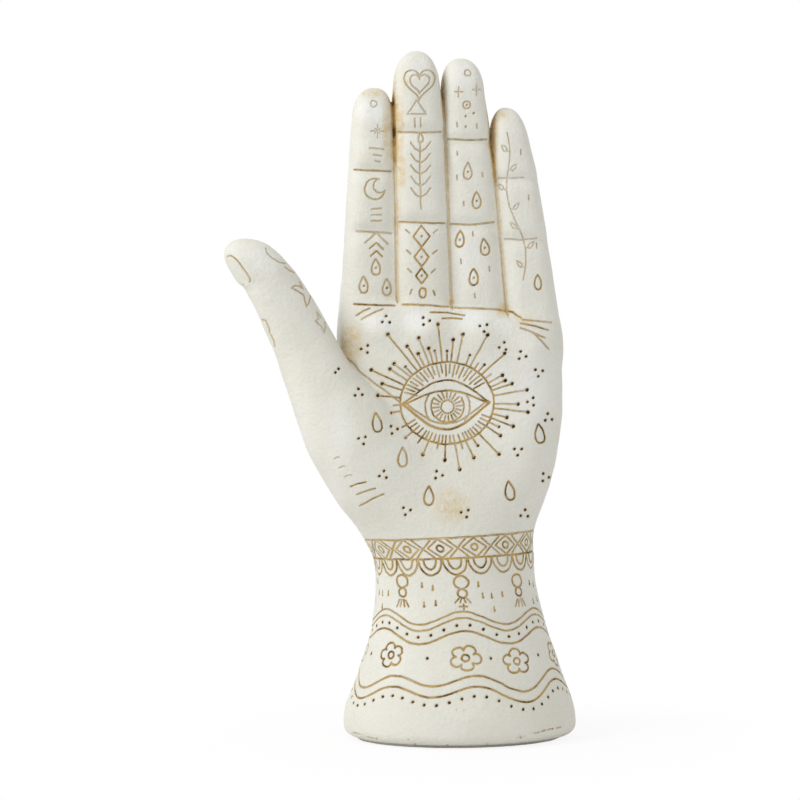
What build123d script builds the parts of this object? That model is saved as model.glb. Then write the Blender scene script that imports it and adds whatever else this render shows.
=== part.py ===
"""Ceramic hand sculpture: an open left hand, palm to the front, standing on a flared wrist cuff.

The hand is cast as hollow members that are luted together at flat seams: the palm with the ball of the
thumb, four fingers, the thumb and the cuff. Each finger plugs into the palm with a hollow stub, the thumb
plugs into the ball, the cuff has a collar that locates the palm, and a vented disc closes the foot above a
felt that the sculpture stands on.

Frame: the origin is the middle of the felt's underside, +Z is up, the palm faces -Y and the thumb points
to -X. All sizes are in millimetres and all angles in degrees.
"""

import os
from math import copysign, cos, pi, radians, sin, tan

from build123d import *

os.makedirs("parts", exist_ok=True)

# Felt, foot and closing disc
FELT_THICKNESS = 1.2
FELT_INSET = 1.5  # from the flat of the foot
FOOT_WIDTH = 90.0
FOOT_DEPTH = 70.0
FOOT_RIM = 7.0  # height of the widest line above the felt
FOOT_EDGE = 4.0  # rounding of the bottom edge
FOOT_WALL = 8.0  # ring of the foot outside the disc
DISC_THICKNESS = 5.0
DISC_LEDGE = 3.0  # how far the disc bears on the cuff
DISC_CLEARANCE = 0.3
VENT_DIAMETER = 10.0

# Cuff: a cone from the foot to the flare, drawn in to the waist, then out again to the wrist seam
FLARE_WIDTH = 67.5
FLARE_DEPTH = 53.0
FLARE_HEIGHT = 42.0
WAIST_WIDTH = 61.8
WAIST_DEPTH = 47.5
WAIST_HEIGHT = 59.0
WAIST_SHIFT = -1.4
WRIST_WIDTH = 64.6
WRIST_DEPTH = 46.0
WRIST_HEIGHT = 76.0
WRIST_SHIFT = -3.8
CUFF_WALL = 7.0
COLLAR_HEIGHT = 6.0
COLLAR_WALL = 3.0
COLLAR_CLEARANCE = 0.3

# Carved lines of the band round the wrist, one under its seam and one above it
LINE_WIDTH = 0.8
LINE_DEPTH = 0.4
LOW_LINE_DROP = 6.0  # below the seam
HIGH_LINE_RISE = 2.0  # above the seam
LINE_TILT = 2.3  # rises towards the little finger's side

# Palm
HEEL_WIDTH = 77.5
HEEL_DEPTH = 41.0
HEEL_HEIGHT = 98.0
MID_PALM_WIDTH = 87.0
MID_PALM_DEPTH = 34.0
MID_PALM_HEIGHT = 124.0
UPPER_PALM_DEPTH = 28.0
UPPER_PALM_HEIGHT = 150.0
KNUCKLE_DEPTH = 23.5
KNUCKLE_HEIGHT = 162.5  # of the seam, in the middle of the finger row
KNUCKLE_TILT = 6.5  # the seam falls towards the little finger
KNUCKLE_FLESH = 1.6  # palm outside the finger row at each end
KNUCKLE_WALL = 8.0
PALM_SHIFT = -3.6
PALM_WALL = 5.0
# Hollow of the palm: a shallow bowl sunk square to the front, which leans back towards the fingers
HOLLOW_X = -1.0
HOLLOW_HEIGHT = 127.0
HOLLOW_SINK = 2.2
HOLLOW_RADIUS = 75.0
# Pad along the little finger's side: height, middle, width and depth of each section
EDGE_PAD_Y = -4.0
EDGE_PAD_FOOT = (84.0, 19.0, 18.0, 26.0)
EDGE_PAD_LOW = (98.0, 21.0, 25.0, 30.0)
EDGE_PAD_FULL = (110.0, 21.0, 30.0, 29.4)
EDGE_PAD_HIGH = (124.0, 22.0, 32.0, 24.6)
EDGE_PAD_TOP = (147.0, 23.0, 30.0, 17.6)

# Fingers: width at the knuckle seam and length above it
INDEX_WIDTH = 20.7
INDEX_LENGTH = 82.0
MIDDLE_WIDTH = 20.8
MIDDLE_LENGTH = 98.5
RING_WIDTH = 21.6
RING_LENGTH = 98.0
LITTLE_WIDTH = 21.4
LITTLE_LENGTH = 82.5
# Lean of the two outer sides and of the three seams between fingers, positive towards the little finger
INDEX_SIDE_LEAN = 3.4
INDEX_MIDDLE_LEAN = -0.8
MIDDLE_RING_LEAN = -2.0
RING_LITTLE_LEAN = -5.0
LITTLE_SIDE_LEAN = -9.0
FINGER_PRESS = 0.5  # how far each finger is flattened against its neighbour
FINGER_ROUNDNESS = 0.98  # depth of a finger for its width
FINGERTIP_HEIGHT = 12.0
FINGER_WALL = 4.5
FINGER_FLOOR = 5.0
STUB_DIAMETER = 10.0
STUB_LENGTH = 6.0
STUB_CLEARANCE = 0.3
STUB_BORE = 4.0

# Ball of the thumb: drop below the thumb's seam, offsets across and through the hand, width and depth
BALL_FOOT = (83.0, -1.5, -3.7, 22.0, 22.0)
BALL_HEEL = (60.0, -2.6, -3.3, 35.8, 31.6)
BALL_FULL = (37.0, -1.9, -2.9, 36.6, 32.0)
BALL_NECK = (16.0, -2.1, -1.4, 26.6, 26.8)
# Seam that the thumb stands on, and the thumb
THUMB_X = -60.8
THUMB_Y = -8.0
THUMB_Z = 150.0
THUMB_WIDTH = 22.8
THUMB_DEPTH = 22.4
THUMB_LENGTH = 47.5
THUMB_LEAN = 32.0  # from upright towards -X
THUMB_FORWARD = 6.0  # from upright towards the palm side
THUMB_TAPER = 0.88  # width below the tip for the width at the seam
THUMBTIP_HEIGHT = 10.0
THUMB_WALL = 5.5

# Roundness of the sections: 2 is an ellipse, more is squarer
ROUND = 2.0
FULL = 2.4
SQUARE = 2.9
OVAL_POINTS = 16
# Where the sections of a rounded tip lie on its quarter circle
TIP_ANGLES = (0, 20, 40, 60, 75, 85)


def oval(width, depth, fullness):
    """Draw the closed curve |2x/width|^fullness + |2y/depth|^fullness = 1 as a face."""
    turns = [2 * pi * i / OVAL_POINTS for i in range(OVAL_POINTS)]
    power = 2 / fullness
    points = [
        (
            copysign(width / 2 * abs(cos(turn)) ** power, cos(turn)),
            copysign(depth / 2 * abs(sin(turn)) ** power, sin(turn)),
        )
        for turn in turns
    ]
    with BuildLine() as outline:
        Spline(points, periodic=True)
    make_face(outline.edges())


def drawn_in(section, inset):
    """The same section with its outline drawn in all round."""
    plane, width, depth, fullness = section
    return plane, width - 2 * inset, depth - 2 * inset, fullness


def loft_ovals(sections, mode=Mode.ADD):
    """Loft through sections given as (plane, width, depth, fullness)."""
    faces = []
    for plane, width, depth, fullness in sections:
        with BuildSketch(plane) as outline:
            oval(width, depth, fullness)
        faces.append(outline.sketch)
    loft(faces, mode=mode)


def level(height, x=0.0):
    """Horizontal plane at a height, with its origin above x."""
    return Plane(origin=(x, 0, height))


# Knuckle seam: one plane, tilted towards the little finger
FINGER_WIDTHS = (INDEX_WIDTH, MIDDLE_WIDTH, RING_WIDTH, LITTLE_WIDTH)
ROW_WIDTH = sum(FINGER_WIDTHS)
TILT = radians(KNUCKLE_TILT)


def knuckle_height(x):
    """Height of the knuckle seam above the floor at x."""
    return KNUCKLE_HEIGHT - (x - PALM_SHIFT) * tan(TILT)


def knuckle_plane(x=PALM_SHIFT, drop=0.0):
    """The knuckle seam's plane with its origin at x, lowered by drop along its normal."""
    seam = Plane(
        origin=(x, 0, knuckle_height(x)),
        x_dir=(cos(TILT), 0, -sin(TILT)),
        z_dir=(sin(TILT), 0, cos(TILT)),
    )
    return seam.offset(-drop)


# Finger row: the five sides of the four fingers, counted from the index finger's outer side
SIDE_X = [PALM_SHIFT - ROW_WIDTH / 2 + sum(FINGER_WIDTHS[:side]) for side in range(5)]
SIDE_LEAN = (INDEX_SIDE_LEAN, INDEX_MIDDLE_LEAN, MIDDLE_RING_LEAN, RING_LITTLE_LEAN, LITTLE_SIDE_LEAN)
FINGER_LENGTHS = {
    "index_finger": INDEX_LENGTH,
    "middle_finger": MIDDLE_LENGTH,
    "ring_finger": RING_LENGTH,
    "little_finger": LITTLE_LENGTH,
}
LAST_SIDE = len(SIDE_X) - 1


def side_at(side, height):
    """X of one of the finger sides at a height above the floor."""
    rise = height - knuckle_height(SIDE_X[side])
    return SIDE_X[side] + rise * tan(radians(SIDE_LEAN[side]))


def side_plane(side):
    """Plane of a seam between two fingers, facing the little finger."""
    lean = radians(SIDE_LEAN[side])
    return Plane(
        origin=(SIDE_X[side], 0, knuckle_height(SIDE_X[side])),
        x_dir=(0, 1, 0),
        z_dir=(cos(lean), 0, -sin(lean)),
    )


def root_x(finger):
    """Middle of a finger at the knuckle seam."""
    return (SIDE_X[finger] + SIDE_X[finger + 1]) / 2


def finger_section(finger, height, share=1.0):
    """Section of a finger at a height, drawn in to a share of its size near the tip."""
    left = side_at(finger, height)
    right = side_at(finger + 1, height)
    width = share * (right - left + 2 * FINGER_PRESS)
    return level(height, (left + right) / 2), width, width * FINGER_ROUNDNESS, FULL


def tip_shares(tip_height):
    """Rise and share of the full width of each section of a rounded tip."""
    return [(tip_height * sin(radians(angle)), cos(radians(angle))) for angle in TIP_ANGLES]


# Ball and thumb: planes square to the line that the thumb grows along
THUMB_AXIS = Vector(
    -sin(radians(THUMB_LEAN)) * cos(radians(THUMB_FORWARD)),
    -sin(radians(THUMB_FORWARD)),
    cos(radians(THUMB_LEAN)) * cos(radians(THUMB_FORWARD)),
)
THUMB_SEAM = Vector(THUMB_X, THUMB_Y, THUMB_Z)


def thumb_plane(rise):
    """Plane across the thumb at a distance above its seam, with its X axis across the hand."""
    return Plane(
        origin=THUMB_SEAM + THUMB_AXIS * rise,
        x_dir=(THUMB_AXIS.Z, 0, -THUMB_AXIS.X),
        z_dir=THUMB_AXIS,
    )


def ball_section(drop, across, through, width, depth):
    """Section of the ball below the thumb's seam, moved across and through the hand."""
    middle = thumb_plane(-drop).location * Pos(across, through, 0)
    return Plane(middle), width, depth, ROUND


def pad_section(height, middle, width, depth):
    """Level section of the pad along the little finger's side."""
    return Plane(origin=(middle, EDGE_PAD_Y, height)), width, depth, ROUND


# Sections of the cuff, palm, ball and thumb, from the bottom up
UNDERSIDE = (level(FELT_THICKNESS), FOOT_WIDTH, FOOT_DEPTH, ROUND)
RIM = (level(FELT_THICKNESS + FOOT_RIM), FOOT_WIDTH, FOOT_DEPTH, ROUND)
FLARE = (level(FLARE_HEIGHT), FLARE_WIDTH, FLARE_DEPTH, ROUND)
CONE = (
    level((FELT_THICKNESS + FOOT_RIM + FLARE_HEIGHT) / 2),
    (FOOT_WIDTH + FLARE_WIDTH) / 2,
    (FOOT_DEPTH + FLARE_DEPTH) / 2,
    ROUND,
)
WAIST = (level(WAIST_HEIGHT, WAIST_SHIFT), WAIST_WIDTH, WAIST_DEPTH, ROUND)
WRIST = (level(WRIST_HEIGHT, WRIST_SHIFT), WRIST_WIDTH, WRIST_DEPTH, ROUND)
CUFF_SECTIONS = [RIM, CONE, FLARE, WAIST, WRIST]
PALM_SECTIONS = [
    WRIST,
    (level(HEEL_HEIGHT, PALM_SHIFT), HEEL_WIDTH, HEEL_DEPTH, FULL),
    (level(MID_PALM_HEIGHT, PALM_SHIFT), MID_PALM_WIDTH, MID_PALM_DEPTH, FULL),
    (level(UPPER_PALM_HEIGHT, PALM_SHIFT), ROW_WIDTH + 2 * KNUCKLE_FLESH, UPPER_PALM_DEPTH, SQUARE),
    (
        level(knuckle_height(SIDE_X[0]) + KNUCKLE_FLESH, PALM_SHIFT),
        ROW_WIDTH + 2 * KNUCKLE_FLESH,
        KNUCKLE_DEPTH,
        SQUARE,
    ),
]
THUMB_ROOT = (thumb_plane(0), THUMB_WIDTH, THUMB_DEPTH, ROUND)
BALL_SECTIONS = [ball_section(*sizes) for sizes in (BALL_FOOT, BALL_HEEL, BALL_FULL, BALL_NECK)]
BALL_SECTIONS.append(THUMB_ROOT)
PAD_SECTIONS = [
    pad_section(*sizes)
    for sizes in (EDGE_PAD_FOOT, EDGE_PAD_LOW, EDGE_PAD_FULL, EDGE_PAD_HIGH, EDGE_PAD_TOP)
]
THUMB_SHOULDER = THUMB_LENGTH - THUMBTIP_HEIGHT
THUMB_TIP = [
    (
        thumb_plane(THUMB_SHOULDER + rise),
        share * THUMB_TAPER * THUMB_WIDTH,
        share * THUMB_TAPER * THUMB_DEPTH,
        ROUND,
    )
    for rise, share in tip_shares(THUMBTIP_HEIGHT)
]
COLLAR_BORE_INSET = PALM_WALL + COLLAR_CLEARANCE + COLLAR_WALL

# Bowl of the palm's hollow: its middle lies out along the normal of the leaning front
PALM_RISE = UPPER_PALM_HEIGHT - MID_PALM_HEIGHT
PALM_LEAN = (MID_PALM_DEPTH - UPPER_PALM_DEPTH) / 2 / PALM_RISE
HOLLOW_FRONT = MID_PALM_DEPTH / 2 - (HOLLOW_HEIGHT - MID_PALM_HEIGHT) * PALM_LEAN
HOLLOW_PLANE = Plane(origin=(HOLLOW_X, -HOLLOW_FRONT, HOLLOW_HEIGHT), z_dir=(0, -1, PALM_LEAN))
BOWL_MIDDLE = HOLLOW_PLANE.offset(HOLLOW_RADIUS - HOLLOW_SINK).origin


def line_cutter(height, sections):
    """Thin tilted plate with the body inside a carved line taken out of it."""
    tilt = radians(LINE_TILT)
    with BuildPart() as cutter:
        with BuildSketch(Plane(origin=(WRIST_SHIFT, 0, height), z_dir=(-sin(tilt), 0, cos(tilt)))):
            Rectangle(2 * WRIST_WIDTH, 2 * WRIST_WIDTH)
        extrude(amount=LINE_WIDTH / 2, both=True)
        loft_ovals([drawn_in(section, LINE_DEPTH) for section in sections], mode=Mode.SUBTRACT)
    return cutter.part


# Wrist cuff: flared shell with a collar on top and a rebate for the disc underneath
with BuildPart() as wrist_cuff:
    with BuildSketch(UNDERSIDE[0]):
        oval(*UNDERSIDE[1:])
    extrude(amount=FOOT_RIM)
    fillet(wrist_cuff.edges().group_by(Axis.Z)[0], radius=FOOT_EDGE)
    loft_ovals(CUFF_SECTIONS)
    loft_ovals(
        [
            drawn_in(UNDERSIDE, FOOT_WALL + DISC_LEDGE),
            drawn_in(CONE, CUFF_WALL),
            drawn_in(FLARE, CUFF_WALL),
            drawn_in(WAIST, CUFF_WALL),
            drawn_in(WRIST, COLLAR_BORE_INSET),
        ],
        mode=Mode.SUBTRACT,
    )
    with BuildSketch(UNDERSIDE[0]):
        oval(*drawn_in(UNDERSIDE, FOOT_WALL)[1:])
    extrude(amount=DISC_THICKNESS, mode=Mode.SUBTRACT)
    with BuildSketch(WRIST[0]):
        oval(*drawn_in(WRIST, PALM_WALL + COLLAR_CLEARANCE)[1:])
    extrude(amount=COLLAR_HEIGHT)
    with BuildSketch(WRIST[0]):
        oval(*drawn_in(WRIST, COLLAR_BORE_INSET)[1:])
    extrude(amount=COLLAR_HEIGHT, mode=Mode.SUBTRACT)
    add(line_cutter(WRIST_HEIGHT - LOW_LINE_DROP, CUFF_SECTIONS), mode=Mode.SUBTRACT)
wrist_cuff.part.label = "wrist_cuff"

# Base disc: closes the cuff, with the vent that the kiln needs
with BuildPart() as base_disc:
    with BuildSketch(UNDERSIDE[0]):
        oval(*drawn_in(UNDERSIDE, FOOT_WALL + DISC_CLEARANCE)[1:])
        Circle(VENT_DIAMETER / 2, mode=Mode.SUBTRACT)
    extrude(amount=DISC_THICKNESS)
base_disc.part.label = "base_disc"

# Base felt: glued under the foot and the disc
with BuildPart() as base_felt:
    with BuildSketch():
        oval(*drawn_in(UNDERSIDE, FOOT_EDGE + FELT_INSET)[1:])
    extrude(amount=FELT_THICKNESS)
base_felt.part.label = "base_felt"

# Palm: hollow slab that grows out of the wrist, with the ball of the thumb on its left
with BuildPart() as palm_cavity:
    loft_ovals([drawn_in(section, PALM_WALL) for section in PALM_SECTIONS])
    split(bisect_by=knuckle_plane(drop=KNUCKLE_WALL), keep=Keep.BOTTOM)
    with Locations(BOWL_MIDDLE):
        Sphere(HOLLOW_RADIUS + PALM_WALL, mode=Mode.SUBTRACT)
    loft_ovals([drawn_in(section, PALM_WALL) for section in BALL_SECTIONS])
    with BuildSketch(thumb_plane(0)):
        oval(*drawn_in(THUMB_ROOT, PALM_WALL)[1:])
    extrude(amount=-STUB_LENGTH)
    with BuildSketch(WRIST[0]):
        oval(*drawn_in(WRIST, PALM_WALL)[1:])
    extrude(amount=COLLAR_HEIGHT + COLLAR_CLEARANCE)

with BuildPart() as palm_body:
    loft_ovals(PALM_SECTIONS)
    split(bisect_by=knuckle_plane(), keep=Keep.BOTTOM)
    loft_ovals(PAD_SECTIONS)
    with Locations(BOWL_MIDDLE):
        Sphere(HOLLOW_RADIUS, mode=Mode.SUBTRACT)
    loft_ovals(BALL_SECTIONS)
    split(bisect_by=WRIST[0], keep=Keep.TOP)
    add(line_cutter(WRIST_HEIGHT + HIGH_LINE_RISE, PALM_SECTIONS), mode=Mode.SUBTRACT)
    add(palm_cavity.part, mode=Mode.SUBTRACT)
    for finger in range(LAST_SIDE):
        with BuildSketch(knuckle_plane(root_x(finger))):
            Circle(STUB_DIAMETER / 2 + STUB_CLEARANCE)
        extrude(amount=-2 * KNUCKLE_WALL, mode=Mode.SUBTRACT)
palm_body.part.label = "palm_body"


def make_finger(finger, length):
    """One hollow finger: rounded tip, flats against its neighbours, and a bored stub below the seam."""
    root = knuckle_height(root_x(finger))
    shoulder = root + length - FINGERTIP_HEIGHT
    middle = (root + shoulder) / 2
    with BuildPart() as body:
        loft_ovals([finger_section(finger, height) for height in (root - STUB_LENGTH, middle, shoulder)])
        loft_ovals(
            [finger_section(finger, shoulder + rise, share) for rise, share in tip_shares(FINGERTIP_HEIGHT)]
        )
        split(bisect_by=knuckle_plane(), keep=Keep.TOP)
        if finger > 0:
            split(bisect_by=side_plane(finger), keep=Keep.TOP)
        if finger + 1 < LAST_SIDE:
            split(bisect_by=side_plane(finger + 1), keep=Keep.BOTTOM)
        loft_ovals(
            [
                drawn_in(finger_section(finger, height), FINGER_WALL)
                for height in (root + FINGER_FLOOR, middle, shoulder)
            ],
            mode=Mode.SUBTRACT,
        )
        with BuildSketch(knuckle_plane(root_x(finger))):
            Circle(STUB_DIAMETER / 2)
        extrude(amount=-STUB_LENGTH)
        with BuildSketch(knuckle_plane(root_x(finger), drop=STUB_LENGTH)):
            Circle(STUB_BORE / 2)
        extrude(amount=STUB_LENGTH + 2 * FINGER_FLOOR, mode=Mode.SUBTRACT)
    return body.part


# Thumb: hollow, with a bored stub that plugs into the ball
with BuildPart() as thumb:
    loft_ovals([THUMB_ROOT, THUMB_TIP[0]])
    loft_ovals(THUMB_TIP)
    with BuildSketch(thumb_plane(0)):
        oval(*drawn_in(THUMB_ROOT, PALM_WALL + STUB_CLEARANCE)[1:])
    extrude(amount=-STUB_LENGTH)
    loft_ovals(
        [drawn_in((thumb_plane(FINGER_FLOOR), *THUMB_ROOT[1:]), THUMB_WALL), drawn_in(THUMB_TIP[0], THUMB_WALL)],
        mode=Mode.SUBTRACT,
    )
    with BuildSketch(thumb_plane(-STUB_LENGTH)):
        Circle(STUB_BORE / 2)
    extrude(amount=STUB_LENGTH + 2 * FINGER_FLOOR, mode=Mode.SUBTRACT)
thumb.part.label = "thumb"

for finger, (name, length) in enumerate(FINGER_LENGTHS.items()):
    piece = make_finger(finger, length)
    piece.label = name
    export_step(piece, f"parts/{name}.step")
for block in (wrist_cuff, base_disc, base_felt, palm_body, thumb):
    export_step(block.part, f"parts/{block.part.label}.step")
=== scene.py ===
"""Looks of the ceramic hand: skins over the CAD nodes, carved ornament, brown wash and a plain studio.

One solid field describes the whole hand: the oval trunk of cuff and palm, the ball and the thumb, and the
four fingers, joined softly. Every skin is a grid of rays that end on that field, so neighbours share one
surface. Lengths are in millimetres until a mesh is written, which is in metres.
"""

import logging
import math
from collections.abc import Callable
from dataclasses import dataclass, field
from enum import Enum

import bpy
import numpy as np
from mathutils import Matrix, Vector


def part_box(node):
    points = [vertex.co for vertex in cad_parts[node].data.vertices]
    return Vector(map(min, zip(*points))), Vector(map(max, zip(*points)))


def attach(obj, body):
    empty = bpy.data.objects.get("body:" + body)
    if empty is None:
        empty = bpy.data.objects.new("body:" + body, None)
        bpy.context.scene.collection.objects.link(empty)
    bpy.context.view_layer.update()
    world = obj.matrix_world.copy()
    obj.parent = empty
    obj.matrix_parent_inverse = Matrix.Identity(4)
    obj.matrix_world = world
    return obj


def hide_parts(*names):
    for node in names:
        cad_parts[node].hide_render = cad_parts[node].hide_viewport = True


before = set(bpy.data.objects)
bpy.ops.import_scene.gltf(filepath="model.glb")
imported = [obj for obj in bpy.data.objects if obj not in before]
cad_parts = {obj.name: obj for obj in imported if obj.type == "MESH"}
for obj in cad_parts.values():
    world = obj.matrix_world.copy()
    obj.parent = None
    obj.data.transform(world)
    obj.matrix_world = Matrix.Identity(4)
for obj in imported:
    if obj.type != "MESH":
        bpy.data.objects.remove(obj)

Array = np.ndarray
Point = tuple[float, float]
Place = tuple[float, float, float]
Colour = tuple[float, float, float, float]

MM = 0.001
SEED = 11
CUT_REACH = 3.0  # half widths from a cut's middle to where it has faded out
LEAST_FACING = 0.01  # a surface that faces the chart less than this is not cut
DOME_TURN = 88.0  # degrees that the rows turn up by over a domed tip
WHITE: Colour = (1.0, 1.0, 1.0, 1.0)
SHARP_EDGE = math.radians(70.0)
ROOT_GUARD = 1e-9
QUOTIENT_GUARD = 1e-12
LOG = logging.getLogger("ceramic_hand")


def ease(value: Array, start: float, end: float) -> Array:
    """Smooth step from 0 at start to 1 at end."""
    part = np.clip((value - start) / (end - start), 0.0, 1.0)
    return part * part * (3.0 - 2.0 * part)


def bump(offset: Array, width: float) -> Array:
    """Bell curve of height 1 and the given width."""
    return np.exp(-((offset / width) ** 2))


def smooth_min(first: Array, second: Array, soft: Array | float) -> Array:
    """Lower of two fields, with a fillet of about the size soft where they meet."""
    near = np.maximum(soft - np.abs(first - second), 0.0) / soft
    return np.minimum(first, second) - near * near * soft / 4.0


def smooth_max(first: Array, second: Array, soft: float) -> Array:
    """Higher of two fields, with a rounding of about the size soft where they meet."""
    return -smooth_min(-first, -second, soft)


def oval_distance(across: Array, deep: Array, half_width: Array, half_depth: Array, fullness: Array | float,
                  cap: Array | float = 0.0, cap_slope: Array | float = 0.0, blunt: float = 2.0) -> Array:
    """Distance from a rounded oval, to first order.

    The oval norm is the fullness-th root of the sum of both offsets, each over its half size and raised to
    the fullness. A dome adds its own term as in a sphere. The norm less one, over its slope, is the distance.

    Args:
        across: offsets along the width.
        deep: offsets along the depth.
        half_width: half the width there.
        half_depth: half the depth there.
        fullness: 2 is an ellipse, more is squarer.
        cap: how far into a dome the point is, 0 below it and 1 at its top.
        cap_slope: change of cap per millimetre.
        blunt: 2 is a round dome, more is flatter on top.

    Returns:
        Signed distances, negative inside.
    """
    wide = np.abs(across) / half_width + ROOT_GUARD
    thick = np.abs(deep) / half_depth + ROOT_GUARD
    norm = (wide**fullness + thick**fullness) ** (1.0 / fullness)
    slope_wide = (wide / norm) ** (fullness - 1.0) / half_width
    slope_deep = (thick / norm) ** (fullness - 1.0) / half_depth
    whole = (norm**blunt + cap**blunt) ** (1.0 / blunt)
    body = (norm / whole) ** (blunt - 1.0)
    dome = (cap / whole) ** (blunt - 1.0)
    slope = np.sqrt((body * slope_wide) ** 2 + (body * slope_deep) ** 2 + (dome * cap_slope) ** 2)
    return (whole - 1.0) / slope


@dataclass(frozen=True)
class Profile:
    """A size that runs smoothly through values given at stations along an axis."""

    stations: tuple[float, ...]
    values: tuple[float, ...]

    def at(self, place: Array) -> Array:
        """Value at each place, by a cubic between stations, held flat outside them.

        Args:
            place: where along the axis.

        Returns:
            Values there.
        """
        knots = np.asarray(self.stations)
        values = np.asarray(self.values)
        slopes = np.gradient(values, knots)
        place = np.clip(place, knots[0], knots[-1])
        left = np.clip(np.searchsorted(knots, place, side="right") - 1, 0, len(knots) - 2)
        span = knots[left + 1] - knots[left]
        part = (place - knots[left]) / span
        rest = 1.0 - part
        low = (1.0 + 2.0 * part) * rest**2 * values[left] + part * rest**2 * span * slopes[left]
        high = part**2 * (3.0 - 2.0 * part) * values[left + 1] - part**2 * rest * span * slopes[left + 1]
        return low + high


@dataclass(frozen=True)
class KnuckleSeam:
    """Tilted plane on which the fingers stand."""

    middle: float = -3.6
    height: float = 162.5
    tilt: float = math.radians(6.5)

    def at(self, across: Array) -> Array:
        """Height of the seam at a place across the palm."""
        return self.height - (across - self.middle) * math.tan(self.tilt)


@dataclass(frozen=True)
class Side:
    """Leaning line between two fingers, or outside the row."""

    foot: Point
    lean: float

    def at(self, height: Array) -> Array:
        """Place of the line across the hand at a height."""
        return self.foot[0] + (height - self.foot[1]) * math.tan(math.radians(self.lean))


@dataclass(frozen=True)
class Finger:
    """One finger: a soft oval column between two leaning sides under a domed tip."""

    left: Side
    right: Side
    tip: float
    foot: float
    creases: Point
    forward: float = 0.0
    press: float = 0.4
    taper: float = 0.9
    taper_from: float = 30.0
    depth: float = 10.3
    thinning: float = 1.2
    thin_from: float = 45.0
    tip_end: float = 6.0
    fold_width: float = 2.6
    fold_depth: float = 1.4
    pad_rise: float = 0.4
    knob_widths: Point = (6.0, 7.0)
    knob_rises: Point = (0.5, 0.8)
    dome: float = 13.0
    root: float = 16.0
    fullness: float = 3.0
    blunt: float = 2.3

    def middle(self, height: Array) -> Array:
        """Place of the finger's axis across the hand."""
        return (self.left.at(height) + self.right.at(height)) / 2.0

    def half_width(self, height: Array) -> Array:
        """Half width, drawn in below the tip."""
        wide = (self.right.at(height) - self.left.at(height)) / 2.0 + self.press
        return wide - self.taper * ease(height, self.tip - self.taper_from, self.tip - self.tip_end)

    def half_depth(self, height: Array, front: Array) -> Array:
        """Half depth, with pads between the creases in front and knobs at the joints behind.

        Args:
            height: where along the finger.
            front: whether each place is on the palm's side.

        Returns:
            Half depths there.
        """
        thin = self.depth - self.thinning * ease(height, self.tip - self.thin_from, self.tip - self.tip_end)
        fold = sum(bump(height - crease, self.fold_width) for crease in self.creases)
        knob = sum(rise * bump(height - crease, width)
                   for crease, width, rise in zip(self.creases, self.knob_widths, self.knob_rises))
        return thin + np.where(front, self.pad_rise - self.fold_depth * fold, knob)

    def distance(self, points: Array) -> Array:
        """Signed distance of points from the finger.

        Args:
            points: where.

        Returns:
            Distances, negative inside.
        """
        across, deep, height = np.moveaxis(points, -1, 0)
        deep = deep - self.forward
        cap = np.maximum(height - (self.tip - self.dome), 0.0) / self.dome
        end = np.maximum(self.foot - height, 0.0) / self.root
        return oval_distance(across - self.middle(height), deep, self.half_width(height),
                             self.half_depth(height, deep < 0.0), self.fullness, np.hypot(cap, end),
                             np.where(cap > 0.0, 1.0 / self.dome, 1.0 / self.root), self.blunt)


@dataclass(frozen=True)
class Mound:
    """A soft rise, or a hollow where its rise is negative: the product of two bell curves."""

    rise: float
    centre: Point
    half: Point

    def at(self, across: Array, up: Array) -> Array:
        """What the mound adds at places across and up the hand."""
        wide = bump(across - self.centre[0], self.half[0])
        return self.rise * wide * bump(up - self.centre[1], self.half[1])


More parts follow.
